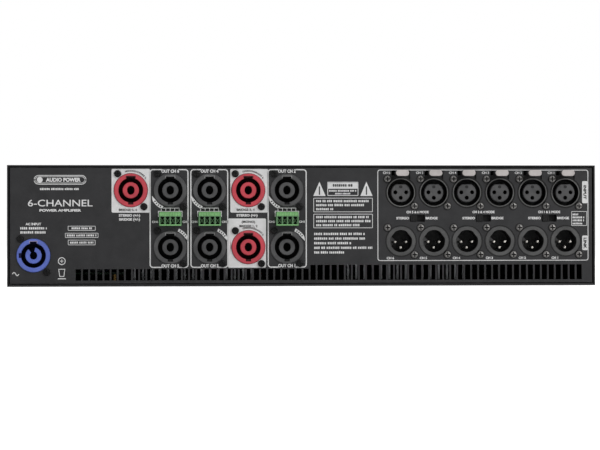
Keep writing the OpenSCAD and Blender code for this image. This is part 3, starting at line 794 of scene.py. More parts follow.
GREEN_BODY = Finish("green_plastic", (128, 186, 120), 0.42, grain=0.3, relief=0.008, mottle=0.05)
# The plug's green plastic made darker, as painted shade on its drilled front and clamp cages.
GREEN_FRONT_SHADE = Finish("green_front_shade", (102, 144, 102), 0.45, grain=0.3, relief=0.008, mottle=0.05)
GREEN_SHADE = Finish("green_shade", (24, 50, 28), 0.55, grain=0.3, relief=0.008, mottle=0.05, sheen_level=0.3)
BLACK_PLASTIC = Finish("black_plastic", (24, 24, 25), 0.48, grain=0.3, relief=0.01)
# Near black: plain black on the mode switches, and painted shade in cavities, screw recesses and slots.
BLACK_AND_PAINTED_SHADE = Finish("black_and_painted_shade", (8, 8, 9), 0.6, grain=0.3, relief=0.008)
SHELL_METAL = Finish("shell_metal", (116, 116, 115), 0.4, 0.5, grain=0.2, relief=0.006)
CAST_GREY = Finish("cast_grey", (84, 84, 84), 0.5, 0.2, grain=0.25, relief=0.01)
PIN_SILVER = Finish("pin_silver", (232, 228, 220), 0.28, 1.0, grain=0.15, relief=0.003, mottle=0.04)
LATCH_TAB = Finish("latch_plastic", (200, 194, 192), 0.4, grain=0.3, relief=0.01, mottle=0.05)
NICKEL = Brushed("screw_nickel", (150, 148, 146), 0.4, 0.9, grain=0.08, relief=0.004, mottle=0.05)
BLACK_ZINC = Finish("screw_black", (14, 14, 15), 0.38, 0.4, grain=0.15, relief=0.006, worn=0.3)
KNOB_PLASTIC = Finish("knob_plastic", (18, 18, 19), 0.42, grain=0.3, relief=0.01)
BOARD = CircuitBoard("board_green", (20, 82, 46), 0.4, grain=0.6, relief=0.02)
SINK = Brushed("sink_aluminium", (178, 180, 182), 0.38, 0.95, grain=0.12, relief=0.006, along=Axis.Y)
COPPER = Finish("copper_wire", (188, 104, 58), 0.3, 1.0, grain=0.2, relief=0.003)
FERRITE = Finish("ferrite_core", (56, 54, 58), 0.6, grain=0.4, relief=0.02)
CORE_STEEL = Layered("core_steel", (74, 72, 74), 0.5, 0.5, relief=0.05)
SLEEVE = Finish("capacitor_sleeve", (26, 34, 58), 0.3, grain=0.5, relief=0.008)
BRASS = Brushed("spacer_brass", (196, 160, 96), 0.3, 1.0, grain=0.1, relief=0.004, along=Axis.Z)
RIBBON = Striped("ribbon_grey", (150, 150, 156), 0.45, relief=0.35)
FOAM = Foam("filter_foam", (30, 30, 31), 0.95, grain=0.9, relief=0.9, sheen_level=0.2)
ROTOR = Finish("rotor_plastic", (32, 32, 34), 0.4, grain=0.35, relief=0.01)
GREEN_LENS = Lens("lamp_green", (60, 150, 70), 0.18, relief=0.002)
RED_LENS = Lens("lamp_red", (170, 36, 36), 0.18, relief=0.002)
BLUE_LENS = Lens("lamp_blue", (60, 90, 200), 0.18, relief=0.002)


# ------------------------------------------------------------------ twist-lock sockets


@dataclass(frozen=True)
class Key:
    """A keyway in a socket's ring: the way it points in degrees, its width, its reach and its depth."""

    points_at: float
    width: float
    reach: float
    depth: float

    def corners(self, well: float) -> list[float]:
        """The angles of its two outer corners and of the two where it meets the well.

        Args:
            well: the well's radius.

        Returns:
            Four angles in radians.
        """
        half = self.width / 2
        middle = math.radians(self.points_at)
        leans = (math.atan2(half, self.reach), math.asin(half / well))
        return [middle + s * lean for s in (-1, 1) for lean in leans]

    def lean(self, angles: Array) -> Array:
        """How far each angle is from the way it points, in radians, from 0 to pi."""
        return np.abs(np.mod(angles - math.radians(self.points_at) + math.pi, TURN) - math.pi)

    def radius(self, angles: Array, radius: Array) -> Array:
        """radius, pushed out to the keyway's flat end and its two parallel sides.

        Args:
            angles: the angles in radians.
            radius: the mouth's radius at each angle.

        Returns:
            The larger radius where the keyway is, and radius elsewhere.
        """
        lean = self.lean(angles)
        sides = self.width / 2 / np.maximum(np.sin(lean), 1e-6)
        end = self.reach / np.maximum(np.cos(lean), 1e-6)
        return np.where(lean < math.pi / 2, np.maximum(radius, np.minimum(end, sides)), radius)

    def floor(self, angles: Array, depths: Array, well: float) -> Array:
        """depths, taken to the keyway's own depth inside it."""
        return np.where(self.lean(angles) <= math.asin(self.width / 2 / well) + 1e-6, self.depth, depths)


@dataclass
class TwistSocket:
    """A round panel socket with a deep annular well, keyways in its ring and a hub in its middle; the well's
    deep faces take a dark painted shade.
    """

    node: str
    piece: str
    slot: str
    body: Finish
    # well: a dark painted shade for the deep faces of the well, the keyways and the hub notch
    well: Finish
    # the rim finish: a painted line round the top keyway, standing in for the light on its edge
    lip: Finish
    keys: tuple[Key, ...] = (Key(90, 6.4, 10.1, 3.0), Key(270, 3.8, 10.4, -0.2))
    hub_slot: tuple[float, float] | None = None
    ring_radius: float = 12.1
    well_radius: float = 8.95
    hub_radius: float = 5.9
    hole: tuple[float, float] = (2.65, 3.2)
    proud: float = 1.2
    well_depth: float = 16.0
    flange: tuple[float, float, float] = (26.0, 29.6, 2.5)
    edge: float = 0.35
    painted_rim_width: float = 0.45
    painted_shade_from: tuple[float, float] = (-0.7, 0.5)

    def moulding(self, depth: float) -> Shape:
        """The socket about the origin, with its panel face at depth 0 and its back at depth.

        Args:
            depth: where its back is.

        Returns:
            One moulding, its deep surfaces in finish 1, the well's painted shade.
        """
        corners = [a for key in self.keys for a in key.corners(self.well_radius)]
        if self.hub_slot:
            corners += [math.radians(a + s * 0.15) for a in self.hub_slot for s in (-1, 1)]
        angles = circle_angles(72, corners)
        mouth = np.full(angles.shape, self.well_radius)
        floor = np.full(angles.shape, 1.0)
        for key in self.keys:
            mouth = key.radius(angles, mouth)
            floor = key.floor(angles, floor, self.well_radius)
        hole = self.hole[0] + (self.hole[1] - self.hole[0]) * np.sin(angles) ** 2
        face = np.zeros(angles.shape)
        if self.hub_slot:
            low, high = (math.radians(a) for a in self.hub_slot)
            face = np.where((angles > low) & (angles < high), self.well_depth - 5.0, face)
        front, edge, bottom = -self.proud, self.edge, self.well_depth
        rows = [
            (0, depth), (self.ring_radius - edge, depth), (self.ring_radius, depth - edge),
            (self.ring_radius, front + edge), (self.ring_radius - edge, front),
            (mouth + edge, front), (mouth, front + edge), (mouth, floor),
            (self.well_radius, floor), (self.well_radius, bottom), (self.hub_radius, bottom),
            (self.hub_radius, face + edge), (self.hub_radius - edge, face), (hole + edge, face),
            (hole, face + edge), (hole, bottom - 1.0), (0, bottom - 1.0),
        ]
        shape = rings(rows, angles)
        # Faces deep in the well, the keyways and the hub notch get finish 1: painted shade, much darker than
        # the body.
        middle = shape.points[shape.faces].mean(1)
        radius = np.hypot(middle[:, 0], middle[:, 2])
        start = np.where(radius > self.hub_radius, *self.painted_shade_from)
        deep = (middle[:, 1] > start) & (middle[:, 1] < bottom + 0.5)
        inside = radius < self.ring_radius - 1.0
        return Shape(shape.points, shape.faces, (deep & inside).astype(int))

    def painted_key_rim(self) -> Shape:
        """A painted rim line round the top keyway, in place of the light on its edge: a thin U in the plane
        of the ring's face, lighter than the body on the grey and blue sockets and darker on the red.
        """
        key = self.keys[0]
        inner, outer = key.width / 2, key.width / 2 + self.painted_rim_width
        foot, top = self.well_radius - 0.2, key.reach
        crown = top + self.painted_rim_width
        outline = [(-outer, foot), (-outer, crown), (outer, crown), (outer, foot),
                   (inner, foot), (inner, top), (-inner, top), (-inner, foot)]
        return prism(np.array(outline), -self.proud - 0.04, -self.proud + 0.3).painted(3)

    def build(self, panel: "PanelPlanes") -> None:
        """Builds all the node's sockets as one piece: moulding, flange behind the panel and the hub's end.

        Args:
            panel: the depths of the rear panel.
        """
        high = node_box(self.node)[1]
        depth = high[1] - panel.face - 2.0
        back = panel.back - panel.face
        width, height, thick = self.flange
        plate = rounded_rect(width, height, 3.0)
        collar = prism(plate, back, back + thick, [circle(self.ring_radius - 0.5, 48)])
        end = rings([(0, depth - 0.1), (self.hub_radius, depth - 0.1), (self.hub_radius, depth + 1.8),
                     (self.hub_radius - 0.2, depth + 2.0), (0, depth + 2.0)], circle_angles(48))
        one = join([self.moulding(depth), collar, end, self.painted_key_rim()])
        add_piece(self.piece, [one.copies(centres(self.node, panel.face))],
                  [self.body, self.well, PIN_SILVER, self.lip], self.node)


@dataclass(frozen=True)
class PanelPlanes:
    """Depths of the rear panel's outer face and inner face."""

    face: float
    back: float

    @classmethod
    def of_frame(cls) -> "PanelPlanes":
        """Reads the outer face from the rear panel's box. The inner face is the sheet's thickness behind."""
        low, _ = node_box("rear_panel")
        return cls(face=low[1], back=low[1] + PANEL_THICK)


# ------------------------------------------------------------------ input and link sockets


def box_radius(angles: Array, half: float, up: float, down: float) -> Array:
    """Distance from the origin to the edge of a box of the given half width, height above and depth below.

    Args:
        angles: the angles in radians.
        half: half the width.
        up: height above the origin.
        down: depth below the origin.

    Returns:
        A distance for each angle.
    """
    sides = half / np.maximum(np.abs(np.cos(angles)), 1e-9)
    ends = np.where(np.sin(angles) > 0, up, down) / np.maximum(np.abs(np.sin(angles)), 1e-9)
    return np.minimum(sides, ends)


def box_corners(half: float, up: float, down: float) -> list[float]:
    """Angles of that box's four corners."""
    rise, fall = math.atan2(up, half), math.atan2(down, half)
    return [rise, math.pi - rise, math.pi + fall, -fall]


@dataclass
class RoundSocket:
    """What input and link sockets share: a square body and flange behind the panel, and a ring through it."""

    node: str
    piece: str
    ring_radius: float
    mouth_radius: float
    cavity_depth: float
    foot: float = 13.0
    flange: tuple[float, float, float] = (11.8, 12.6, 13.0)
    body: tuple[float, float, float] = (10.5, 10.6, 11.0)
    flange_thick: float = 2.0
    depth: float = 23.5
    edge: float = 0.15

    def mouth(self, angles: Array) -> Array:
        """Radius of the cavity at each angle."""
        return np.full(angles.shape, self.mouth_radius)

    def moulding(self, back: float) -> Shape:
        """Body, flange, ring and cavity as one closed surface. back is the panel's inner face.

        Args:
            back: depth of the panel's inner face.

        Returns:
            One moulding.
        """
        angles = circle_angles(64, box_corners(*self.flange) + box_corners(*self.body))
        flange, body = box_radius(angles, *self.flange), box_radius(angles, *self.body)
        mouth, front = self.mouth(angles), -0.1
        rows = [
            (0, self.depth), (body, self.depth), (body, back + self.flange_thick),
            (flange, back + self.flange_thick), (flange, back), (self.ring_radius, back),
            (self.ring_radius, front + self.edge), (self.ring_radius - self.edge, front),
            (mouth + self.edge, front), (mouth, front + self.edge),
            (mouth, self.cavity_depth), (0, self.cavity_depth),
        ]
        # Finish 2, near black, on the flange's face behind the panel and on the cavity's wall and floor:
        # painted shade.
        return rings(rows, angles, paint=[0, 0, 0, 0, 2, 1, 1, 1, 1, 2, 2])


@dataclass
class InputSocket(RoundSocket):
    """Socket with three contact holes in a round insert, and a push latch above it."""

    insert_radius: float = 7.1
    insert_top: float = 6.2
    chamfer: float = 0.45
    contact: float = 1.5
    contacts: tuple[tuple[float, float], ...] = ((-4.0, 0.2), (4.0, 0.2), (0.0, -3.8))
    ear: tuple[float, float, float] = (2.0, 6.0, 5.4)
    ear_place: tuple[float, float] = (6.4, 13.3)

    def insert(self) -> Shape:
        """A disc with a flat top and a chamfered rim, drilled for three contacts, with a faint mark."""
        lean = math.asin(self.insert_top / self.insert_radius)
        angles = circle_angles(48, [lean, math.pi - lean])
        flat = self.insert_top / np.maximum(np.sin(angles), 1e-6)
        radius = np.where(np.sin(angles) > 0, np.minimum(self.insert_radius, flat), self.insert_radius)
        face = radius - self.chamfer
        outline = np.column_stack([face * np.cos(angles), face * np.sin(angles)])
        holes = [circle(self.contact, 20, x, z) for x, z in self.contacts]
        disc = prism(outline, 1.0, self.cavity_depth + 0.5, holes).painted(3)
        rim = rings([(face - 0.05, 1.0), (radius, 1.7), (radius, 4.0), (face - 0.05, 4.0)], angles, loop=True)
        mark = prism(rounded_rect(2.4, 2.2, 0.9) + [0.0, 4.2], 0.96, 1.02)
        return join([disc, rim.painted(3), mark.painted(4)])

    def build(self, panel: PanelPlanes) -> None:
        """Builds the six input sockets as one piece.

        Args:
            panel: the depths of the rear panel.
        """
        back = panel.back - panel.face
        wide, deep, tall = self.ear
        start = back + self.body[2]
        ear = block(wide, tall, start, start + deep, 0.6, 0.2)
        ears = [ear.moved(s * self.ear_place[0], 0, self.ear_place[1]) for s in (-1, 1)]
        one = join([self.moulding(back), self.insert(), *ears])
        finishes = [BLACK_PLASTIC, SHELL_METAL, BLACK_AND_PAINTED_SHADE, SOCKET_BODY, BLACK_PLASTIC]
        add_piece(self.piece, [one.copies(centres(self.node, panel.face, self.foot))], finishes,
                  self.node)


@dataclass
class LinkSocket(RoundSocket):
    """Socket with three pins in a round cavity, whose upper corners are flattened."""

    flat: float = 7.6
    pin_radius: float = 1.0
    wedge: tuple[tuple[float, float], ...] = (
        (-7.7, -3.2), (-5.9, -3.6), (-3.6, 0.9), (-6.6, 3.9), (-7.9, 3.2))
    wedge_rise: float = 6.0

    def mouth(self, angles: Array) -> Array:
        """The cavity's circle, cut by a flat at each upper corner.

        Args:
            angles: the angles in radians.

        Returns:
            A radius for each angle.
        """
        radius = np.full(angles.shape, self.mouth_radius)
        for middle in (math.radians(38), math.radians(142)):
            lean = np.abs(angles - middle)
            flat = self.flat / np.cos(np.minimum(lean, 1.0))
            radius = np.where(lean < 0.6, np.minimum(radius, flat), radius)
        return radius

    def build(self, panel: PanelPlanes) -> None:
        """Builds the six link sockets as one piece, and their eighteen pins as another.

        Args:
            panel: the depths of the rear panel.
        """
        back = panel.back - panel.face
        step = self.cavity_depth - self.wedge_rise
        rise = prism(np.array(self.wedge), step, self.cavity_depth + 0.5).painted(3)
        # A near-black block on the raised insert stands in for a slot: painted shade.
        slot_shade = block(1.3, 1.6, step - 0.05, step + 1.0, 0.2, 0.05).moved(-5.7, 0, -0.6)
        one = join([self.moulding(back), rise, slot_shade.painted(2)])
        add_piece(self.piece, [one.copies(centres(self.node, panel.face, self.foot))],
                  [BLACK_PLASTIC, CAST_GREY, BLACK_AND_PAINTED_SHADE, SOCKET_BODY], self.node)
        r, low, high = self.pin_radius, 2.5, self.cavity_depth + 1.0
        nose = [(r * 0.92, low + 0.3), (r * 0.75, low + 0.08), (r * 0.45, low), (0, low)]
        rows = [(0, high), (r, high), (r, low + 0.7), *nose]
        pin = rings(rows, circle_angles(20))
        add_piece("link_contact_pins", [pin.copies(centres("link_pins", panel.face))], [PIN_SILVER],
                  "link_pins")


@dataclass
class Latch:
    """Push latch: a tab that stands out of the panel, with an arm and a pivot pin behind it."""

    tab_width: float = 9.7
    tab_height: float = 4.5
    corner: float = 2.2
    groove: tuple[float, float, float] = (2.0, 1.6, 0.6)
    pivot: tuple[float, float] = (14.0, 2.3)

    def build(self, channel: int, panel: PanelPlanes) -> None:
        """Builds one channel's latch.

        The tab's outline is carried along Y, and its top edge dips at each of three finger grooves.

        Args:
            channel: the channel, 1 to 6.
            panel: the depths of the rear panel.
        """
        node = f"input_latch_{channel}"
        low, high = node_box(node)
        middle, top = (low[0] + high[0]) / 2, high[2]
        start, pitch, width = self.groove
        stations = [(0.0, 0.35, 0.0), (0.35, 0.0, 0.0)]
        for k in range(3):
            a = start + k * pitch - width / 2
            b = a + width
            stations += [(a - 0.1, 0.0, 0.0), (a, 0.0, 0.3), (b, 0.0, 0.3), (b + 0.1, 0.0, 0.0)]
        stations += [(panel.back - low[1] + 3.0, 0.0, 0.0)]
        rows = []
        for depth, inset, dip in stations:
            tall = self.tab_height - 2 * inset - dip
            outline = rounded_rect(self.tab_width - 2 * inset, tall, max(self.corner - inset - dip / 2, 0.1))
            rows.append((outline + [0, -dip / 2], low[1] + depth))
        tab = loft(rows)
        # The tab's sides behind its face, and the arm, take black plastic: painted shade on the light tab.
        behind = tab.points[tab.faces].mean(1)[:, 1] > low[1] + 0.4
        tab = Shape(tab.points, tab.faces, np.where(behind, 2, 0)).moved(middle, 0, top - self.tab_height / 2)
        arm = block(self.tab_width, 3.1, panel.back, high[1], 0.6, 0.3).moved(middle, 0, top - 2.45)
        ends = [(0, low[0]), (0.8, low[0]), (1.0, low[0] + 0.2)]
        pin = rings([*ends, (1.0, high[0] - 0.2), (0.8, high[0]), (0, high[0])], circle_angles(20))
        pin = Shape(pin.points[:, [1, 0, 2]], pin.faces, pin.paint).outward()
        pin = pin.moved(0, panel.back + self.pivot[0], top - self.pivot[1])
        add_piece(f"latch_tab_{channel}", [tab, arm.painted(2), pin.painted(1)],
                  [LATCH_TAB, PIN_SILVER, BLACK_PLASTIC], node)


# ------------------------------------------------------------------ screws


class Head(Enum):
    """Kinds of screw head."""

    PAN = "pan"
    FLUSH = "flush"


@dataclass
class CrossScrew:
    """A screw with a cross recess, about the Y axis, its head towards -Y and its seat at depth 0."""

    head_radius: float
    head_height: float
    shank_radius: float
    length: float
    kind: Head = Head.PAN
    arm: float = 0.7
    slit: float = 0.19

    def shape(self) -> Shape:
        """Rings from the tip of the shank to the bottom of the recess.

        The recess's edge is a plus: at each angle, the further of its two bars.

        Returns:
            The screw, its recess in finish 1, which takes near-black painted shade.
        """
        reach, half = self.head_radius * self.arm, self.head_radius * self.slit
        corner = math.atan2(half, reach)
        angles = circle_angles(8, [k * TURN / 4 + a for k in range(4) for a in (corner, -corner, 0.48, 1.09)])
        c, s = (np.maximum(np.abs(f(angles)), 1e-6) for f in (np.cos, np.sin))
        plus = np.maximum(np.minimum(reach / c, half / s), np.minimum(reach / s, half / c))
        r, h, shank = self.head_radius, self.head_height, self.shank_radius
        tip = [(0, self.length), (shank * 0.6, self.length), (shank, self.length - 0.6)]
        if self.kind is Head.PAN:
            dome = [(r, -0.5 * h), (r * 0.95, -0.72 * h), (r * 0.8, -0.92 * h)]
            head = [(shank, 0), (r, 0), *dome, (plus, -h)]
            bottom = -0.35 * h
        else:
            head = [(shank, h), (r * 0.96, 0.08), (r * 0.9, 0), (plus, 0)]
            bottom = 0.75 * h
        rows = [*tip, *head, (plus * 0.82, bottom), (0, bottom + 0.1)]
        bands = [0] * (len(rows) - 3) + [1, 1]
        return rings(rows, angles, paint=bands)


class Screws:
    """All the screws that show, one piece for each CAD node of them."""

    def build(self, panel: PanelPlanes) -> None:
        """Builds the four groups from the boxes of their solids."""
        for name, screw, finish, slot, node in (
            ("light", CrossScrew(2.5, 1.7, 1.45, 8.0), NICKEL, "screw_nickel", "input_screws"),
            ("dark", CrossScrew(2.65, 1.8, 1.45, 7.0), BLACK_ZINC, "screw_black", "output_screws"),
        ):
            heads = screw.shape().copies(centres(node, panel.face))
            add_piece(f"socket_screws_{name}", [heads], [finish, BLACK_AND_PAINTED_SHADE], node)
        self.build_cover()
        self.build_front()

    def build_cover(self) -> None:
        """Flush screws in the cover's top and sides, told apart by the height of each solid's box."""
        flush = CrossScrew(2.8, 1.2, 1.45, 5.5, Head.FLUSH).shape()
        made = []
        for low, high in solids("cover_screws"):
            x, y, z = (low + high) / 2
            if 5.2 < high[2] - low[2] < 5.55:
                made.append(flush.turned(Axis.X, -90).moved(x, y, high[2]))
            elif x > 0:
                made.append(flush.turned(Axis.Z, 90).moved(high[0], y, z))
            else:
                made.append(flush.turned(Axis.Z, -90).moved(low[0], y, z))
        add_piece("cover_screw_set", made, [BLACK_ZINC, BLACK_AND_PAINTED_SHADE], "cover_screws")

    def build_front(self) -> None:
        """Flush screws through the front panel, and pan screws into the handles from behind it."""
        flush = CrossScrew(4.0, 2.3, 2.0, 22.0, Head.FLUSH).shape().turned(Axis.Z, 180)
        pan = CrossScrew(4.5, 3.0, 2.45, 14.5).shape()
        nose = node_box("front_panel")[1][1]
        made = []
        for low, high in solids("front_screws"):
            middle = (low + high) / 2
            at_face = high[1] - nose < 0.01 and high[1] > nose - 0.01
            y = nose if at_face else low[1] + 3.0
            made.append((flush if at_face else pan).moved(middle[0], y, middle[2]))
        add_piece("front_screw_set", made, [BLACK_ZINC, BLACK_AND_PAINTED_SHADE], "front_screws")


# ------------------------------------------------------------------ terminals and switches


@dataclass
class Terminals:
    """Pluggable terminal blocks: a header in the panel and a four-way screw plug in it."""

    ways: int = 4
    pitch: float = 3.81
    cell: tuple[float, float] = (2.9, 5.9)
    cell_drop: float = 1.35
    cell_depth: float = 6.0
    band: tuple[float, float] = (2.1, 4.7)
    proud: float = 0.4
    header: tuple[float, float, float, float] = (17.4, 9.0, 0.8, 12.0)

    def pole_x(self) -> Array:
        """The poles' places across the plug."""
        return (np.arange(self.ways) - (self.ways - 1) / 2) * self.pitch

    def plug(self, low: Array, high: Array, face: float) -> list[Shape]:
        """One plug: drilled front, solid back, ribbed band, clamp cages and the screws in its top.

        Args:
            low: lowest corner of the plug's node.
            high: its highest corner.
            face: depth of the panel's outer face.

        Returns:
            The plug's shapes.
        """
        width, height = high[0] - low[0], high[2] - low[2]
        x, _, z = (low + high) / 2
        front, back = low[1] + self.proud, face - 0.3
        holes = [rounded_rect(*self.cell, 0.3) + [p, -self.cell_drop] for p in self.pole_x()]
        body = prism(rounded_rect(width, height - self.proud, 0.5) - [0, self.proud / 2], front,
                     front + self.cell_depth, holes)
        rear = block(width, height - self.proud, front + self.cell_depth - 0.01, back, 0.5, 0.2)
        rear = rear.moved(0, 0, -self.proud / 2)
        nose = block(width - 1.2, 6.6, face - 1.0, high[1], 0.4, 0.3).moved(0, 0, 0.6)
        sill = block(width - 0.4, 0.9, low[1], front + 1.0, 0.2, 0.1).moved(0, 0, 0.45 - height / 2 + 0.2)
        ribs = self.ribs(width, low[1], front + 1.0)
        cages = [
            block(self.cell[1] - 1.2, 0.55, front + 2.2, front + self.cell_depth - 0.2, 0.2, 0.1)
            .turned(Axis.Y, s * 52).moved(p, 0, -self.cell_drop).painted(3)
            for p in self.pole_x() for s in (-1, 1)
        ]
        deep = [block(self.cell[0] + 0.1, self.cell[1] + 0.1, front + self.cell_depth - 0.4,
                      front + self.cell_depth, 0.2, 0.05).moved(p, 0, -self.cell_drop).painted(1)
                for p in self.pole_x()]
        top = height / 2
        collar = rings([(1.95, 0.5), (1.95, 0.05), (1.85, 0), (1.55, 0), (1.5, 0.05), (1.5, 0.5)],
                       circle_angles(20), loop=True)
        slot = prism(circle(1.35, 20), 0.15, 0.6, [rounded_rect(2.2, 0.45, 0.1)]).painted(2)
        screws = [join([collar, slot]).turned(Axis.X, -90).moved(p, face - 4.5, top) for p in self.pole_x()]
        # Finish 3 on the drilled front and the clamp cages is the green plastic darkened: painted shade.
        return [s.moved(x, 0, z) for s in [body.painted(3), rear, nose, sill, ribs, *cages, *deep, *screws]]

    def ribs(self, width: float, front: float, back: float) -> Shape:
        """The ribbed band: a comb outline in X and Y, carried up Z.

        Args:
            width: width of the plug.
            front: depth of the ribs' crests.
            back: where the band ends.

        Returns:
            The band.
        """
        count = 17
        edges = np.linspace(-width / 2 + 0.3, width / 2 - 0.3, count * 2)
        depth = np.where(np.arange(count * 2) % 4 < 2, front, front + 0.3)
        comb = np.column_stack([edges, depth])
        outline = np.concatenate([comb, [[edges[-1], back], [edges[0], back]]])
        return prism(outline, self.band[0], self.band[1], axis=Axis.Z)

    def build(self, panel: PanelPlanes) -> None:
        """Builds the headers as one piece and each plug as its own."""
        high = solids("terminal_headers")[0][1]
        width, height, wall, depth = self.header
        back = panel.back + depth
        shell = prism(rounded_rect(width, height, 0.4), panel.face, back - 3.0,
                      [rounded_rect(width - 2 * wall, height - 2 * wall, 0.2)])
        rear = block(width, height, back - 3.01, back, 0.4, 0.2)
        leg = block(1.0, 1.0, panel.back + 2.0, high[1], 0.1, 0.1).painted(1)
        one = join([shell, rear, *(leg.moved(p) for p in self.pole_x())])
        add_piece("terminal_sockets", [one.copies(centres("terminal_headers", 0.0))],
                  [GREEN_SHADE, PIN_SILVER], "terminal_headers")
        for number in (1, 2, 3):
            node = f"terminal_plug_{number}"
            low, high = node_box(node)
            add_piece(f"screw_plug_{number}", self.plug(low, high, panel.face),
                      [GREEN_BODY, GREEN_SHADE, PIN_SILVER, GREEN_FRONT_SHADE], node)


@dataclass
class ModeSwitches:
    """Slide switches: a ribbed key in each slot of the panel."""

    rib: float = 0.5
    rib_pitch: float = 1.3

    def build(self) -> None:
        """Builds the three keys. A comb outline in X and Y is carried up Z, so each key has three grooves."""
        for number in (1, 2, 3):
            node = f"mode_slider_{number}"
            low, high = node_box(node)
            x, _, z = (low + high) / 2
            half, _, tall = (high - low) / 2
            front, back = low[1], high[1]
            comb = [[-half, back], [-half, front + 0.2], [-half + 0.2, front]]
            for k in (-1, 0, 1):
                a, b = k * self.rib_pitch - self.rib / 2, k * self.rib_pitch + self.rib / 2
                comb += [[a, front], [a + 0.1, front + 0.4], [b - 0.1, front + 0.4], [b, front]]
            comb += [[half - 0.2, front], [half, front + 0.2], [half, back]]
            key = prism(np.array(comb), -tall, tall, axis=Axis.Z).moved(x, 0, z)
            add_piece(f"mode_key_{number}", [key], [BLACK_AND_PAINTED_SHADE], node)


# ------------------------------------------------------------------ printing


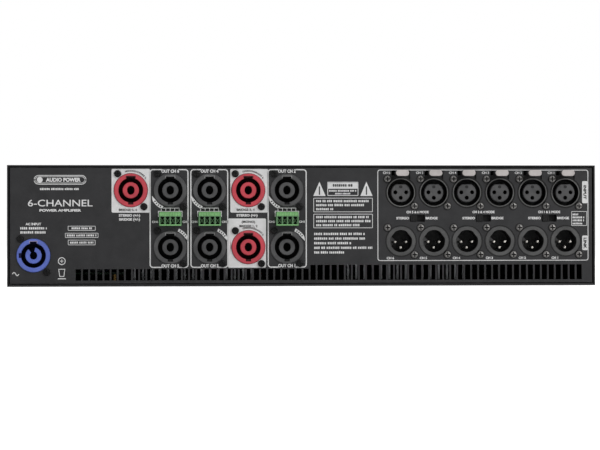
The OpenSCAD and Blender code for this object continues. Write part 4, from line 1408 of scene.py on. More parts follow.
class Sheet:
    """Screen printing on a flat face: thin raised shapes in the X-Z plane, gathered by finish number."""

    thick = 0.05
    sunk = 0.02

    def __init__(self, face: float, outwards: int) -> None:
        """Starts a sheet.

        Args:
            face: the depth of the printed face.
            outwards: -1 if the face looks towards -Y, 1 if towards +Y.
        """
        self.low, self.high = sorted((face - outwards * self.sunk, face + outwards * self.thick))
        self.side = -outwards
        self.shapes: list[Shape] = []

    def area(self, outline: Array, holes: Sequence[Array] = (), ink: int = 0) -> None:
        """A filled outline, with holes."""
        self.shapes.append(prism(outline, self.low, self.high, holes).painted(ink))

    def line(self, path: Sequence[Sequence[float]], width: float, ink: int = 0, closed: bool = False) -> None:
        """A line along a path, each corner mitred: the path shifted half the width to either side.

        Args:
            path: its points, n x 2.
            width: its width.
            ink: the finish number.
            closed: whether the last point joins the first.
        """
        points = np.asarray(path, float)
        ahead = np.roll(points, -1, axis=0) - points
        ahead /= np.maximum(np.linalg.norm(ahead, axis=1, keepdims=True), 1e-9)
        behind = np.roll(ahead, 1, axis=0)
        if not closed:
            ahead[-1], behind[0] = behind[-1], ahead[0]
        normal = np.column_stack([-(ahead + behind)[:, 1], (ahead + behind)[:, 0]])
        square = np.column_stack([-ahead[:, 1], ahead[:, 0]])
        normal /= np.maximum(np.sum(normal * square, axis=1, keepdims=True), 0.2)
        left, right = points + normal * width / 2, points - normal * width / 2
        section = [np.insert(p, 1, y, axis=1) for p, y in
                   ((left, self.low), (right, self.low), (right, self.high), (left, self.high))]
        grid = np.stack(section, axis=1)
        if not closed:
            grid = np.concatenate([grid[:1].mean(1, keepdims=True).repeat(4, 1), grid,
                                   grid[-1:].mean(1, keepdims=True).repeat(4, 1)])
        self.shapes.append(surface(grid, loop=closed).painted(ink))

    def frame(self, left: float, right: float, low: float, high: float, width: float, radius: float) -> None:
        """A rectangular outline.

        Args:
            left: its left edge.
            right: its right edge.
            low: its lower edge.
            high: its upper edge.
            width: width of the line.
            radius: corner radius of the line's middle.
        """
        middle = [(left + right) / 2, (low + high) / 2]
        outline = rounded_rect(right - left - width, high - low - width, radius) + middle
        self.line(outline, width, closed=True)

    def bar(self, left: float, right: float, low: float, high: float, radius: float) -> None:
        """A filled rectangle."""
        middle = [(left + right) / 2, (low + high) / 2]
        self.area(rounded_rect(right - left, high - low, radius, 2) + middle)

    def words(self, left: float, right: float, z: float, height: float, seed: int, ink: int = 0) -> None:
        """Small upright blocks with the rhythm of letters and words, in place of wording that isn't drawn.

        Args:
            left: where the first block starts.
            right: where the last one ends.
            z: the middle of the row.
            height: height of the tallest block.
            seed: seed of the random draws.
            ink: the finish number.
        """
        draw = np.random.default_rng(seed)
        edge, letters = left, int(draw.integers(3, 8))
        while edge < right - 0.3 * height:
            end = min(edge + height * (0.45 + 0.25 * draw.random()), right)
            low = z - height / 2
            high = low + height * (0.86 + 0.14 * draw.random())
            self.area(np.array([(edge, low), (end, low), (end, high), (edge, high)]), ink=ink)
            letters -= 1
            edge = end + height * (0.2 if letters else 0.65)
            letters = letters or int(draw.integers(2, 9))

    def text(self, words: str, x: float, z: float, height: float, turn: float = 0.0, ink: int = 0,
             bold: float = 0.0, stretch: float = 1.0) -> None:
        """Centred lettering, of the given capital height.

        Args:
            words: the text.
            x: its middle across.
            z: its middle up.
            height: the height of a capital.
            turn: degrees anticlockwise, as seen from in front of the face.
            ink: the finish number.
            bold: how much wider each stroke is than the font's.
            stretch: how much wider than the font's own it is.
        """
        curve = bpy.data.curves.new("lettering", "FONT")
        curve.body, curve.align_x, curve.align_y, curve.resolution_u = words, "CENTER", "CENTER", 3
        curve.offset = bold / height
        letters = bpy.data.objects.new("lettering", curve)
        bpy.context.scene.collection.objects.link(letters)
        flat = bpy.data.meshes.new_from_object(letters.evaluated_get(bpy.context.evaluated_depsgraph_get()))
        points = np.empty(len(flat.vertices) * 3)
        flat.vertices.foreach_get("co", points)
        flat.calc_loop_triangles()
        corners = np.empty(len(flat.loop_triangles) * 3, int)
        flat.loop_triangles.foreach_get("vertices", corners)
        bpy.data.objects.remove(letters)
        bpy.data.meshes.remove(flat)
        bpy.data.curves.remove(curve)
        flat_points, triangles = points.reshape(-1, 3)[:, :2], corners.reshape(-1, 3)
        self.shapes.append(self.raised(flat_points, triangles, x, z, height, turn, stretch).painted(ink))

    def raised(self, flat: Array, triangles: Array, x: float, z: float, height: float, turn: float,
               stretch: float) -> Shape:
        """Flat letters given thickness: both faces, and a wall on each edge that only one triangle has.

        Args:
            flat: the letters' points, n x 2.
            triangles: their triangles.
            x: the text's middle across.
            z: its middle up.
            height: the height of a capital.
            turn: degrees anticlockwise.
            stretch: how much wider than the font's own it is.

        Returns:
            The closed letters.
        """
        cap = 0.729
        angle = math.radians(turn)
        flat = flat * height / cap * [stretch, 1.0]
        flat = flat - [0.0, (flat[:, 1].min() + flat[:, 1].max()) / 2]
        u = flat[:, 0] * math.cos(angle) - flat[:, 1] * math.sin(angle)
        v = flat[:, 0] * math.sin(angle) + flat[:, 1] * math.cos(angle)
        keys, index = np.unique(np.round(np.column_stack([u, v]), 4), axis=0, return_inverse=True)
        triangles = index.reshape(-1)[triangles]
        a, b, c = (keys[triangles[:, k]] for k in range(3))
        area = (b[:, 0] - a[:, 0]) * (c[:, 1] - a[:, 1]) - (b[:, 1] - a[:, 1]) * (c[:, 0] - a[:, 0])
        triangles = np.where(area[:, None] < 0, triangles[:, ::-1], triangles)[np.abs(area) > 1e-9]
        edges = np.concatenate([triangles[:, [0, 1]], triangles[:, [1, 2]], triangles[:, [2, 0]]])
        n = len(keys)
        codes, twins = edges[:, 0] * n + edges[:, 1], edges[:, 1] * n + edges[:, 0]
        rim = edges[~np.isin(codes, twins)]
        across = self.side * keys[:, 0]
        points = np.concatenate([np.column_stack([x + across, np.full(n, y), z + keys[:, 1]])
                                 for y in (self.low, self.high)])
        caps = triangles[:, [0, 1, 2, 2]]
        walls = np.column_stack([rim[:, 0], rim[:, 1], rim[:, 1] + n, rim[:, 0] + n])
        faces = np.concatenate([caps[:, ::-1], caps + n, walls])
        return Shape(points, faces, np.zeros(len(faces), int)).outward()


@dataclass
class RearPrint:
    """Everything printed on the rear panel, and some painted shade. Ink 0 is white, 1 dark, 2 black and 3
    grey; ink 2 also paints shade round the input and link sockets and the input screws.
    """

    line: float = 0.8
    fine: float = 0.5
    output_labels: tuple[tuple[int, int], ...] = ((6, 5), (4, 3), (2, 1))
    mark: float = 2.3
    small: float = 1.7

    def build(self, panel: PanelPlanes) -> None:
        """Prints the output side, the input side, the notices and the left block, as one piece."""
        sheet = Sheet(panel.face, -1)
        outputs = centres("output_sockets", 0.0)
        bridges = centres("bridge_sockets", 0.0)
        self.output_side(sheet, outputs, bridges)
        self.input_side(sheet)
        self.notices(sheet)
        self.left_block(sheet)
        inks = [INK, DARK_INK, BLACK_INK_AND_SHADE, GREY_INK]
        add_piece("rear_print", sheet.shapes, inks, "rear_panel", stands_for=False)

    def output_side(self, sheet: Sheet, outputs: Array, bridges: Array) -> None:
        """Frames round the outputs, white grounds behind the red sockets, and the words between them.

        Args:
            sheet: the sheet to print on.
            outputs: places of the black sockets.
            bridges: places of the red sockets.
        """
        column = np.unique(np.round(outputs[:, 0], 2))
        low_z, high_z = outputs[:, 2].min(), outputs[:, 2].max()
        red_left, red_mid = np.unique(np.round(bridges[:, 0], 2))
        top, foot = high_z + 15.4, low_z - 15.0
        for k, (left, right) in enumerate(((15.0, 13.3), (14.0, 13.6), (14.1, 14.5))):
            self.output_frame(sheet, column[k], left, right, foot, top, self.output_labels[k])
        self.ground(sheet, red_left, high_z, 13.9, 13.9, True, "BRIDGE 5, 6")
        self.ground(sheet, red_mid, high_z, 13.1, 14.5, True, "BRIDGE 3, 4")
        self.ground(sheet, red_mid, low_z, 14.8, 12.9, False, "BRIDGE 1, 2")
        for x in column:
            self.lock_mark(sheet, x, high_z, 197, 247)
            self.lock_mark(sheet, x, low_z, 19, 65)
            self.polarity(sheet, x, self.output_labels[int(np.argmin(np.abs(column - x)))])
        middle = (low_z + high_z) / 2
        for x in (red_left, red_mid):
            sheet.text("STEREO (+/-)", x - 0.9, middle + 2.2, self.small, bold=0.09, stretch=1.18)
        sheet.text("BRIDGE (+/-)", red_left - 0.9, middle - 0.7, self.small, bold=0.09, stretch=1.18)

    def output_frame(self, sheet: Sheet, x: float, left: float, right: float, foot: float, top: float,
                     channels: tuple[int, int]) -> None:
        """One frame, broken above and below where its two labels stand.

        Args:
            sheet: the sheet to print on.
            x: middle of the column.
            left: reach to the left edge.
            right: reach to the right edge.
            foot: the lower edge.
            top: the upper edge.
            channels: the channels above and below.
        """
        gap, radius = 6.2, 2.0
        turns = np.linspace(0, math.pi / 2, 5)
        middle = (foot + top) / 2
        for edge, turn, channel in ((top, 1, channels[0]), (foot, -1, channels[1])):
            z = edge - turn * self.line / 2
            for side, reach in ((-1, left), (1, right)):
                corner = x + side * (reach - self.line / 2)
                bend = [(corner - side * radius * (1 - math.sin(a)), z - turn * radius * (1 - math.cos(a)))
                        for a in turns]
                sheet.line([(x + side * gap, z), *bend, (corner, middle)], self.line)
            sheet.text(f"OUT CH {channel}", x, edge - turn * 1.45, self.mark, bold=0.12, stretch=0.88)

    def ground(self, sheet: Sheet, x: float, z: float, left: float, right: float, upper: bool,
               words: str) -> None:
        """White ground behind a red socket, clear round the socket's ring, with its words and its arrow.

        Args:
            sheet: the sheet to print on.
            x: the socket's middle across.
            z: its middle up.
            left: reach to the left edge.
            right: reach to the right edge.
            upper: whether it is in the upper row.
            words: the words on it.
        """
        tall = 31.8 if upper else 35.9
        foot = z - 16.3 if upper else z - 15.0
        outline = rounded_rect(left + right, tall, 1.0) + [x + (right - left) / 2, foot + tall / 2]
        sheet.area(outline, [circle(12.45, 64, x, z)])
        if upper:
            lines = ((words, x - 2.0, z - 14.4),)
        else:
            lines = ((words, x, z + 15.2), ("(MONO)", x, z + 18.2))
        for line, at_x, at_z in lines:
            sheet.text(line, at_x, at_z, self.small, ink=3, bold=0.07, stretch=1.1)
        self.curved_arrow(sheet, x, z, 106, 40)

    def curved_arrow(self, sheet: Sheet, x: float, z: float, start: float, end: float) -> None:
        """Small dark blocks along an arc round a socket, and an arrow's head at its end.

        Args:
            sheet: the sheet to print on.
            x: the arc's middle across.
            z: its middle up.
            start: where it starts, in degrees.
            end: where its head is.
        """
        radius = 14.1
        for angle in np.radians(np.linspace(start, end + 7, 18)):
            sheet.area(self.block_on_arc(x, z, radius, angle, -0.25, 0.3, 0.65), ink=3)
        base, tip = math.radians(end + 2), math.radians(end - 3)
        head = [(x + r * math.cos(a), z + r * math.sin(a))
                for r, a in ((radius - 0.9, base), (radius + 0.8, base), (radius - 0.5, tip))]
        sheet.area(np.array(head), ink=2)

    def block_on_arc(self, x: float, z: float, radius: float, angle: float, start: float, end: float,
                     half: float) -> Array:
        """A small rectangle on an arc: from start to end along it, and half to either side.

        Args:
            x: the arc's middle across.
            z: its middle up.
            radius: its radius.
            angle: the block's place on it, in radians.
            start: where the block starts.
            end: where it ends.
            half: half its width across the arc.

        Returns:
            The four corners.
        """
        turn = np.array([[math.sin(angle), -math.cos(angle)], [math.cos(angle), math.sin(angle)]])
        corners = np.array([(start, -half), (end, -half), (end, half), (start, half)]) @ turn
        return corners + [x + radius * math.cos(angle), z + radius * math.sin(angle)]

    def lock_mark(self, sheet: Sheet, x: float, z: float, tip: float, end: float) -> None:
        """A broad curved band beside a socket, pointed at its tip, with small dark blocks along it.

        Args:
            sheet: the sheet to print on.
            x: the socket's middle across.
            z: its middle up.
            tip: angle of the point, in degrees.
            end: angle of the other end.
        """
        angles = np.radians(np.linspace(tip, end, 14))
        inner, outer = 12.7, 14.9
        share = np.linspace(0, 1, 14)
        wide = np.minimum(1.0, share * 3.2 + 0.05)
        middle = (inner + outer) / 2
        rims = [np.column_stack([x + r * np.cos(angles), z + r * np.sin(angles)])
                for r in (middle - wide * (middle - inner), middle + wide * (outer - middle))]
        outline = np.concatenate([rims[0], rims[1][::-1]])
        cuts = [self.block_on_arc(x, z, middle, angle, -0.4, 0.4, 0.6) for angle in angles[5:-1:2]]
        sheet.area(outline, cuts)

    def polarity(self, sheet: Sheet, x: float, channels: tuple[int, int]) -> None:
        """The small box above a terminal: a plus or a minus in each cell, and a bracket at its sides.

        Args:
            sheet: the sheet to print on.
            x: middle of the column.
            channels: the channels at its two sides.
        """
        low, high = 54.3, 57.1
        half, reach = 6.7, 8.6
        wall, arm = 0.4, 0.7
        sheet.area(np.array([(x - half, low), (x + half, low), (x + half, high), (x - half, high)]))
        foot, head, mid = low + wall, high - wall, (low + high) / 2
        for k in range(4):
            left = x - half + wall + k * (2 * half - wall) / 4
            right = left + (2 * half - wall) / 4 - wall
            cell = np.array([(left, foot), (right, foot), (right, head), (left, head)])
            sheet.shapes.append(prism(cell, sheet.low - 0.03, sheet.low).painted(2))
            middle = (left + right) / 2
            sheet.line([(middle - arm, mid), (middle + arm, mid)], wall)
            if k % 2 == 0:
                sheet.line([(middle, mid - arm), (middle, mid + arm)], wall)
        for side in (-1, 1):
            edge, z = x + side * reach, low + 0.3
            sheet.line([(x + side * half, z), (edge, z), (edge, 50.5)], self.fine)
        for side, channel in zip((-1, 1), channels):
            sheet.text(f"CH{channel}", x + side * 11.1, 46.9, 1.5, bold=0.07, stretch=1.15)

    def input_side(self, sheet: Sheet) -> None:
        """The frame round the inputs with its side labels, channel numbers and the words at the switches,
        with black painted shade round the sockets' rings and the screws' heads.
        """
        inputs = centres("input_sockets", 0.0, 13.0)
        left, right, low, high = inputs[0, 0] - 17.3, inputs[-1, 0] + 17.0, 18.1, 85.0
        sheet.frame(left, right, low, high, self.fine + 0.05, 1.6)
        # Black painted shade: a ring where each socket's ring meets its hole in the panel.
        for x, z in np.concatenate([inputs, centres("link_sockets", 0.0, 13.0)])[:, [0, 2]]:
            sheet.line(circle(11.3, 64, x, z), 0.7, ink=2, closed=True)
        # Black painted shade: a disc that shows as a dark outline round each input screw's head.
        for x, z in centres("input_screws", 0.0)[:, [0, 2]]:
            sheet.area(circle(3.05, 24, x, z), ink=2)
        for x, channel in zip(inputs[:, 0], range(6, 0, -1)):
            sheet.text(f"CH {channel}", x - 10.6, 82.7, self.small, bold=0.05, stretch=1.05)
            sheet.text(f"CH {channel}", x - 7.9, 20.2, self.small, bold=0.07, stretch=1.05)
        for k, number in enumerate((3, 2, 1)):
            foot, head = node_box(f"mode_slider_{number}")
            x, z = (inputs[2 * k, 0] + inputs[2 * k + 1, 0]) / 2, (foot[2] + head[2]) / 2
            sheet.text(f"CH {5 - 2 * k} & {6 - 2 * k} MODE", x, z + 4.5, self.small, bold=0.08, stretch=1.0)
            sheet.text("STEREO", x - 10.9, z, self.small, bold=0.08, stretch=1.15)
            sheet.text("BRIDGE", x + 10.3, z, self.small, bold=0.08, stretch=1.12)
        for words, foot, top in (("INPUT", 60.3, 76.6), ("LINK", 25.7, 36.5)):
            edge = right - 0.5
            sheet.bar(edge - 4.1, edge, foot, top, 0.8)
            sheet.text(words, edge - 2.05, (foot + top) / 2, 2.1, turn=-90, ink=1, bold=0.1, stretch=1.25)
        table = right - 12.6
        sheet.frame(table, right - 1.1, 43.7, 54.4, 0.35, 0.4)
        for k, (z, end) in enumerate(((52.1, 6.0), (49.9, 1.6), (47.7, 2.2), (45.4, 2.4))):
            sheet.words(table + 0.9, right - 1.1 - end, z, 1.4, 70 + k)

    def notices(self, sheet: Sheet) -> None:
        """Plain notice boxes between outputs and inputs: outlines, triangles and blocks, with no wording."""
        left, right = 7.2, 50.7
        middle = (left + right) / 2 - 0.2
        for x in (left + 4.4, right - 4.6):
            triangle = np.array([(x - 4.5, 65.7), (x + 4.5, 65.7), (x, 76.1)])
            slot = rounded_rect(0.9, 6.2, 0.3) + [x, 69.6]
            sheet.area(triangle, [slot])
        sheet.frame(middle - 11.3, middle + 11.4, 65.8, 76.1, self.fine, 0.3)
        sheet.bar(middle - 11.0, middle + 11.1, 71.0, 75.9, 0.4)
        sheet.words(middle - 7.3, middle + 7.8, 73.5, 2.0, 3, ink=1)
        sheet.words(middle - 10.0, middle + 10.2, 69.5, 1.3, 4)
        sheet.words(middle - 5.6, middle + 5.6, 67.4, 1.2, 9)
        for top, seed, ends in ((64.3, 11, (48.3, 44.7, 22.2)), (52.6, 21, (47.7, 49.0, 41.6))):
            sheet.frame(left, right, top - 10.4, top, self.fine - 0.1, 0.3)
            for k in range(3):
                sheet.words(9.2, ends[k], top - 2.3 - 2.95 * k, 1.7, seed + k)
        for k, end in enumerate((45.3, 45.3, 35.4, 50.3, 30.8)):
            sheet.words(left + 0.5, end, 38.0 - 3.38 * k, 1.75, 31 + k)

    def left_block(self, sheet: Sheet) -> None:
        """The title block over the mains inlet, and the small plain marks round it."""
        middle = -176.9
        sheet.frame(middle - 19.0, middle + 19.1, 74.0, 80.9, self.fine, 3.3)
        sheet.frame(middle - 17.9, middle + 18.0, 75.0, 79.9, 0.35, 2.3)
        sheet.area(circle(2.1, 24, middle - 14.6, 77.45))
        sheet.text("AUDIO POWER", middle + 2.3, 77.45, 2.7, bold=0.14, stretch=0.95)
        sheet.words(middle - 14.5, middle + 14.8, 70.8, 1.5, 41)
        sheet.text("6-CHANNEL", middle, 60.6, 5.0, bold=0.04, stretch=1.25)
        sheet.text("POWER AMPLIFIER", middle, 55.3, self.small, bold=0.09, stretch=1.55)
        inlet_x = centres("mains_inlet", 0.0)[0, 0]
        sheet.text("AC INPUT", inlet_x, 45.4, self.small, bold=0.08, stretch=1.05)
        sheet.words(inlet_x - 9.5, inlet_x + 9.6, 42.4, 1.8, 51)
        sheet.words(inlet_x - 9.4, inlet_x + 9.6, 39.4, 1.8, 52)
        for k, (half, low, high) in enumerate(((10.0, 40.6, 44.0), (12.0, 35.4, 38.9), (9.9, 30.1, 33.9))):
            x = middle + 15.6
            sheet.frame(x - half, x + half, low, high, 0.35, 0.3)
            reach = (7.3, 10.7, 8.4)[k]
            sheet.words(x - reach, x + reach, (low + high) / 2, 1.5, 61 + k)
        ring = middle + 1.2
        sheet.line(circle(2.5, 28, ring, 18.5), 0.6, closed=True)
        sheet.line([(ring - 1.2, 18.5), (ring + 1.2, 18.5)], 0.5)
        sheet.line([(ring, 17.3), (ring, 19.7)], 0.5)
        bin_sides = [(ring - 2.2, 12.6), (ring + 2.2, 12.6), (ring + 1.5, 7.4), (ring - 1.5, 7.4)]
        sheet.line(bin_sides, 0.5, closed=True)
        sheet.bar(ring - 2.9, ring + 2.9, 5.4, 6.1, 0.1)
        wave = np.linspace(0, TURN, 16)
        sheet.line(np.column_stack([-211.2 + 4.6 * wave / TURN, 9.2 + 1.2 * np.sin(wave)]), 0.6)


# ------------------------------------------------------------------ front


@dataclass
class Handles:
    """Two round bar handles on the front panel."""

    radius: float = 4.5
    bend: float = 9.0
    collar: tuple[float, float] = (6.0, 2.5)

    def build(self) -> None:
        """Builds each handle: a bar out of the panel, up and back in, with a collar at each foot."""
        for name in ("left_handle", "right_handle"):
            low, high = node_box(name)
            x, r, bend = (low[0] + high[0]) / 2, self.radius, self.bend
            foot, top = low[2] + self.collar[0], high[2] - self.collar[0]
            grip = high[1] - r
            arc = np.linspace(0, math.pi / 2, 13)
            lower = np.column_stack([grip - bend + bend * np.sin(arc), foot + bend - bend * np.cos(arc)])
            upper = np.column_stack([lower[::-1, 0], foot + top - lower[::-1, 1]])
            plan = np.concatenate([[[low[1], foot]], lower, upper, [[low[1], top]]])
            path = np.column_stack([np.full(len(plan), x), plan])
            bar = tube(path, r, np.array([[1.0, 0.0, 0.0]]), 40)
            wide, thick = self.collar
            rows = [(0, 0), (wide, 0), (wide, thick - 0.5), (wide - 0.5, thick), (0, thick)]
            collar = rings(rows, circle_angles(40)).copies(np.array([[x, low[1], foot], [x, low[1], top]]))
            add_piece(f"{name}_bar", [bar, collar], [HANDLE_METAL], name)


@dataclass
class GainKnobs:
    """Six fluted knobs on the front panel, each with a pointer line. The dials round them are printed by
    FrontPrint.
    """

    flutes: int = 18
    flute_depth: float = 0.45
    grip: float = 14.0

    def build(self) -> None:
        """Builds each knob about its own axis.

        The grip's radius is the profile's less a small half wave for each flute.
        """
        for number in range(1, 7):
            node = f"gain_knob_{number}"
            low, high = node_box(node)
            (x, _, z), radius = (low + high) / 2, (high[0] - low[0]) / 2
            base, face, tail = high[1] - self.grip, high[1], low[1]
            angles = circle_angles(self.flutes * 8)
            flute = self.flute_depth * np.abs(np.sin(angles * self.flutes / 2)) ** 0.7
            rows = [
                (0, tail), (2.7, tail), (3.0, tail + 0.3), (3.0, base),
                (radius - 0.2, base), (radius, base + 0.2), (radius, base + 1.8),
                (radius - 0.8, base + 2.6), (radius - 1.0 - flute * 0.3, base + 3.2),
                (radius - 1.15 - flute, base + 4.2), (radius - 1.7 - flute, face - 1.2),
                (radius - 2.1 - flute * 0.4, face - 0.5), (radius - 2.6, face - 0.12), (radius - 3.2, face),
                (radius - 4.0, face - 0.1), (0, face - 0.1),
            ]
            knob = rings(rows, angles)
            line = block(0.9, 3.6, face - 0.4, face - 0.02, 0.2, 0.08).moved(0, 0, radius - 4.5).painted(1)
            side = block(0.9, 0.7, base + 4.2, face - 0.6, 0.2, 0.1).moved(0, 0, radius - 1.75).painted(1)
            add_piece(f"fluted_knob_{number}", [s.moved(x, 0, z) for s in (knob, line, side)],
                      [KNOB_PLASTIC, INK], node)


@dataclass
class FrontPrint:
    """Dials and words printed on the front panel."""

    ticks: int = 11
    sweep: float = 300.0
    inner: float = 8.8

    def build(self) -> None:
        """Prints a dial round each knob, and a word at each row of lamps and at the switch."""
        nose = node_box("front_panel")[1][1]
        sheet = Sheet(nose, 1)
        lamps, clips = centres("signal_lamps", 0.0), centres("clip_lamps", 0.0)
        for number in range(1, 7):
            low, high = node_box(f"gain_knob_{number}")
            x, _, z = (low + high) / 2
            self.dial(sheet, x, z)
            sheet.text(f"CH {number}", x, 16.5, 2.2, bold=0.07)
        edge = lamps[-1, 0] + 9.5
        sheet.text("SIGNAL", edge + 3.0, lamps[0, 2], 1.7, bold=0.05)
        sheet.text("CLIP", edge + 3.0, clips[0, 2], 1.7, bold=0.05)
        low, high = node_box("power_switch_body")
        sheet.text("POWER", (low[0] + high[0]) / 2, low[2] - 4.5, 2.2, bold=0.07)
        add_piece("front_print", sheet.shapes, [INK], "front_panel", stands_for=False)

    def dial(self, sheet: Sheet, x: float, z: float) -> None:
        """Tick marks from lower left to lower right, with a number at each end.

        Args:
            sheet: the sheet to print on.
            x: the knob's middle across.
            z: its middle up.
        """
        for k in range(self.ticks):
            angle = math.radians(-90 - (360 - self.sweep) / 2 - k * self.sweep / (self.ticks - 1))
            c, s = math.cos(angle), math.sin(angle)
            outer = self.inner + (1.3 if k % 5 == 0 else 0.7)
            sheet.line([(x - self.inner * c, z + self.inner * s), (x - outer * c, z + outer * s)], 0.35)
        sheet.text("0", x + 6.6, z - 9.6, 1.4, bold=0.04)
        sheet.text("10", x - 6.6, z - 9.6, 1.4, bold=0.04)


@dataclass
class Lamps:
    """Domed lamps in the front panel, each on a collar at the board behind it."""

    radius: float = 1.5

    def build(self) -> None:
        """Builds the three groups of lamps."""
        groups = (("signal_lamps", GREEN_LENS, "lamp_green"), ("clip_lamps", RED_LENS, "lamp_red"),
                  ("power_lamp", BLUE_LENS, "lamp_blue"))
        for node, lens, slot in groups:
            low, high = node_box(node)
            share = np.linspace(0, math.pi / 2, 7)
            dome = [(self.radius * math.cos(a), high[1] - 0.8 + 0.8 * math.sin(a)) for a in share[:-1]]
            foot, seat = low[1], low[1] + 3.0
            rows = [(0, foot), (2.2, foot), (2.2, seat), (self.radius, seat), *dome, (0, high[1])]
            lamp = rings(rows, circle_angles(24))
            add_piece(f"{node}_lens", [lamp.copies(centres(node, 0.0))], [lens], node)


# ------------------------------------------------------------------ inside


@dataclass
class Chokes:
    """Ring cores wound with copper wire."""

    ring: float = 10.0
    core: float = 3.7
    wire: float = 0.6
    turns: int = 26

    def build(self) -> None:
        """Builds the six chokes. The wire is a helix round the core's ring."""
        step = np.linspace(0, TURN, self.turns * 14, endpoint=False)
        twist = step * self.turns
        round_ring = np.column_stack([np.cos(step), np.sin(step), np.zeros(len(step))])
        out = round_ring * np.cos(twist)[:, None] + np.array([0, 0, 1.0]) * np.sin(twist)[:, None]
        path = round_ring * self.ring + out * (self.core + self.wire)
        wire = tube(path, self.wire, out, 8, loop=True)
        angles = np.linspace(0, TURN, 24, endpoint=False)
        spin = np.linspace(0, TURN, 64, endpoint=False)
        reach, rise = self.ring + self.core * np.cos(angles), self.core * np.sin(angles)
        grid = np.stack([np.outer(np.cos(spin), reach), np.outer(np.sin(spin), reach),
                         np.broadcast_to(rise, (len(spin), len(angles)))], -1)
        core = surface(grid, loop=True).painted(1)
        places = np.array([(low + high) / 2 for low, high in solids("output_chokes")])
        add_piece("wound_chokes", [join([wire, core]).copies(places)], [COPPER, FERRITE],
                  "output_chokes")


@dataclass
class Capacitors:
    """Tall round capacitors on the supply board."""

    radius: float = 12.5

    def build(self) -> None:
        """Builds the eight cans: a sleeve with a rolled groove near its foot and a plain metal top."""
        low, high = node_box("supply_capacitors")
        tall, r = high[2] - low[2], self.radius
        rows = [(0, 0), (r - 0.6, 0), (r, 0.6), (r, 3.0), (r - 0.7, 3.6), (r - 0.7, 4.2), (r, 4.8),
                (r, tall - 0.8), (r - 0.8, tall), (r - 2.0, tall), (r - 2.2, tall - 0.5), (0, tall - 0.5)]
        can = rings(rows, circle_angles(48), paint=[0] * 9 + [1, 1]).turned(Axis.X, 90)
        places = np.array([(a + b) / 2 for a, b in solids("supply_capacitors")])
        places[:, 2] = low[2]
        add_piece("sleeved_capacitors", [can.copies(places)], [SLEEVE, SINK],
                  "supply_capacitors")


@dataclass
class FanRotors:
    """Seven-bladed fan rotors behind the front grilles."""

    blades: int = 7
    hub: float = 15.5
    tip: float = 37.0

    def build(self) -> None:
        """Builds both rotors. Each blade is a thin curved sheet from hub to tip, twisted as it goes out."""
        for side, node in ((1, "left_fan_rotor"), (-1, "right_fan_rotor")):
            low, high = node_box(node)
            x, _, z = (low + high) / 2
            back, front = low[1] + 3.5, high[1]
            rows = [(0, back), (self.hub - 0.6, back), (self.hub, back + 0.6), (self.hub, front - 1.5),
                    (self.hub - 1.5, front), (3.0, front), (2.6, front - 0.4), (0, front - 0.4)]
            shaft = [(0, low[1]), (1.3, low[1]), (1.5, low[1] + 0.2), (1.5, back + 1.0), (0, back + 1.0)]
            shapes = [rings(rows, circle_angles(64)), rings(shaft, circle_angles(20)).painted(1)]
            middle, reach = (back + front) / 2, (front - back) / 2 - 1.0
            shapes += [self.blade(side, middle, reach).turned(Axis.Y, k * 360 / self.blades)
                       for k in range(self.blades)]
            add_piece(f"{node}_moulding", [s.moved(x, 0, z) for s in shapes], [ROTOR, PIN_SILVER],
                      node)

    def blade(self, side: int, middle: float, reach: float) -> Shape:
        """One blade: chord and depth follow a gentle curve, and the leading edge sweeps as it goes out.

        Args:
            side: 1 or -1, the hand of the fan.
            middle: depth of the blade's middle.
            reach: half the blade's depth.

        Returns:
            A closed sheet 1.4 mm thick.
        """
        out = np.linspace(0, 1, 9)[:, None]
        chord = np.linspace(-1, 1, 15)[None, :]
        radius = self.hub - 0.6 + (self.tip - self.hub + 0.6) * out + 0 * chord
        angle = side * (0.34 * chord + 0.16 * out - 0.05 * chord ** 2)
        depth = middle + chord * reach * (1 - 0.15 * out)
        sheets = []
        for shift in (-0.7, 0.7):
            lean = angle + shift * (1 - chord ** 4) / radius
            sheets.append(np.stack([radius * np.cos(lean), depth, radius * np.sin(lean)], -1))
        grid = np.concatenate([sheets[0], sheets[1][:, ::-1]], axis=1)
        ends = [grid[:1].mean(1, keepdims=True).repeat(grid.shape[1], 1),
                grid[-1:].mean(1, keepdims=True).repeat(grid.shape[1], 1)]
        return surface(np.concatenate([ends[0], grid, ends[1]]))


def dress_nodes() -> None:
    """Finishes for the CAD nodes whose shape stays in view."""
    dress(CASE_PAINT, "top_cover")
    dress(PANEL_PAINT_AND_SHADE, "rear_panel")
    dress(TRAY_PAINT, "chassis_tray")
    dress(FRONT_FACE, "front_panel")
    dress(BLACK_PLASTIC, "intake_grilles", "left_fan_frame", "right_fan_frame", "power_switch_body",
          "power_rocker", "power_transistors")
    dress(BLACK_AND_PAINTED_SHADE, "mode_switch_bodies")
    dress(FOAM, "dust_filters")
    dress(SINK, "heatsinks")
    dress(BOARD, "amplifier_boards", "power_supply_board", "input_board", "output_board", "control_board")
    dress(CORE_STEEL, "supply_transformer")
    dress(BRASS, "board_spacers")
    dress(RIBBON, "signal_ribbon")
    dress(CAST_GREY, "gain_pots")


# ------------------------------------------------------------------ scene


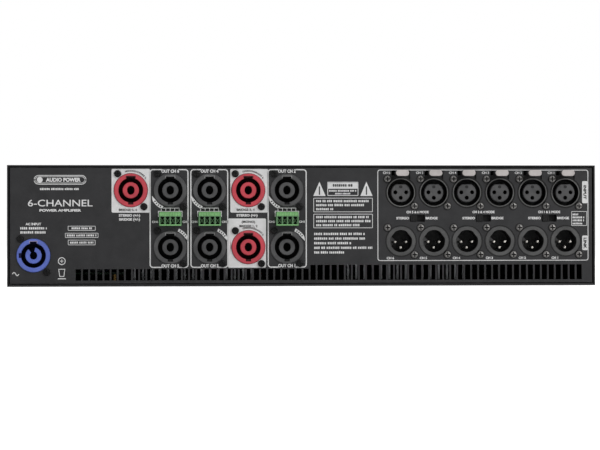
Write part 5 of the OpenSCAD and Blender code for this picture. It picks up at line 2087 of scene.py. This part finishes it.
@dataclass
class Studio:
    """Camera, pale floor and soft light. Lengths are metres and angles degrees."""

    eye: tuple[float, float, float] = (-0.1004, -1.704, 0.032)
    yaw: float = -3.725
    pitch: float = 0.476
    roll: float = 0.098
    focal: float = 123.6
    floor_size: float = 30.0
    floor_z: float = -0.0003
    ambient: float = 0.3
    floor_glow: float = 0.8

    def add_camera(self) -> None:
        """A level camera behind the amplifier, turned a little to its right."""
        data = bpy.data.cameras.new("camera")
        data.lens, data.sensor_width = self.focal, 36.0
        data.clip_start, data.clip_end = 0.05, 60.0
        camera = bpy.data.objects.new("camera", data)
        camera.location = self.eye
        camera.rotation_euler = tuple(math.radians(a) for a in (90 + self.pitch, self.roll, self.yaw))
        bpy.context.scene.collection.objects.link(camera)
        bpy.context.scene.camera = camera

    def add_floor(self) -> None:
        """A wide pale floor just under the amplifier."""
        half = self.floor_size / 2
        mesh = bpy.data.meshes.new("floor")
        corners = [(x * half, y * half, self.floor_z) for x, y in ((-1, -1), (1, -1), (1, 1), (-1, 1))]
        mesh.from_pydata(corners, [], [(0, 1, 2, 3)])
        graph = Graph("pale_floor")
        graph.link(graph.mixed(graph.noise(400.0), tint(236, 236, 236), tint(240, 240, 240)), "Base Color")
        graph.shader.inputs["Roughness"].default_value = 0.9
        graph.shader.inputs["Emission Color"].default_value = (1.0, 1.0, 1.0, 1.0)
        seen = graph.node("LightPath").outputs["Is Camera Ray"]
        graph.link(graph.maths("MULTIPLY", seen, self.floor_glow), "Emission Strength")
        mesh.materials.append(graph.material)
        floor = bpy.data.objects.new("floor", mesh)
        bpy.context.scene.collection.objects.link(floor)

    def add_light(self, name: str, place: tuple[float, float, float], aim: tuple[float, float, float],
                  size: tuple[float, float], watts: float) -> None:
        """One rectangular soft light.

        Args:
            name: the light's name.
            place: where it is.
            aim: the point it faces.
            size: its width and height.
            watts: its power.
        """
        data = bpy.data.lights.new(name, "AREA")
        data.shape, data.size, data.size_y, data.energy = "RECTANGLE", *size, watts
        lamp = bpy.data.objects.new(name, data)
        lamp.location = place
        lamp.rotation_euler = (Vector(aim) - Vector(place)).to_track_quat("-Z", "Y").to_euler()
        bpy.context.scene.collection.objects.link(lamp)

    def add_lights(self) -> None:
        """A key light on the right, a weaker one on the left, one overhead and one for the front panel."""
        self.add_light("key_light", (1.5, -1.9, 1.1), (0.05, -0.2, 0.04), (1.2, 1.0), 22.0)
        self.add_light("fill_light", (-1.6, -1.7, 0.9), (-0.05, -0.2, 0.04), (1.2, 0.9), 5.0)
        self.add_light("top_light", (0.0, -0.2, 1.9), (0.0, 0.0, 0.0), (2.4, 2.0), 10.0)
        self.add_light("front_light", (0.3, 2.2, 1.2), (0.0, 0.2, 0.04), (1.6, 1.0), 16.0)

    def add_world(self) -> None:
        """White surroundings, dimmer as a light than as a backdrop."""
        world = bpy.data.worlds.new("studio")
        world.use_nodes = True
        nodes, links = world.node_tree.nodes, world.node_tree.links
        backdrop = next(n for n in nodes if n.type == "BACKGROUND")
        path, strength = nodes.new("ShaderNodeLightPath"), nodes.new("ShaderNodeMapRange")
        backdrop.inputs["Color"].default_value = (1.0, 1.0, 1.0, 1.0)
        strength.inputs["To Min"].default_value = self.ambient
        strength.inputs["To Max"].default_value = 1.0
        links.new(path.outputs["Is Camera Ray"], strength.inputs["Value"])
        links.new(strength.outputs[0], backdrop.inputs["Strength"])
        bpy.context.scene.world = world

    def build(self) -> None:
        """Sets the whole studio up."""
        bpy.context.scene.view_settings.view_transform = "Standard"
        self.add_camera()
        self.add_floor()
        self.add_lights()
        self.add_world()


def main() -> None:
    """Builds the studio, then every sub-assembly in order."""
    logging.basicConfig(level=logging.INFO, format="%(name)s: %(message)s")
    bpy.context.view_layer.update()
    Studio().build()
    panel = PanelPlanes.of_frame()
    dress_nodes()
    inlet_keys = (Key(90, 5.0, 10.2, 3.0), Key(180, 3.5, 10.5, -0.2))
    TwistSocket("output_sockets", "output_mouldings", "socket_grey",
                SOCKET_BODY, SOCKET_WELL_SHADE, SOCKET_PAINTED_RIM).build(panel)
    TwistSocket("bridge_sockets", "bridge_mouldings", "red_plastic", RED_BODY, RED_WELL_SHADE, RED_PAINTED_RIM).build(panel)
    TwistSocket("mains_inlet", "mains_moulding", "blue_plastic", BLUE_BODY, BLUE_WELL_SHADE, BLUE_PAINTED_RIM,
                inlet_keys, hub_slot=(78.0, 128.0), hole=(2.6, 2.9)).build(panel)
    InputSocket("input_sockets", "input_mouldings", 10.5, 9.75, 13.5).build(panel)
    LinkSocket("link_sockets", "link_mouldings", 10.8, 8.1, 15.0).build(panel)
    for channel in range(1, 7):
        Latch().build(channel, panel)
    Screws().build(panel)
    Terminals().build(panel)
    ModeSwitches().build()
    RearPrint().build(panel)
    for maker in (Handles, GainKnobs, FrontPrint, Lamps, Chokes, Capacitors, FanRotors):
        maker().build()


if __name__ == "__main__":
    main()
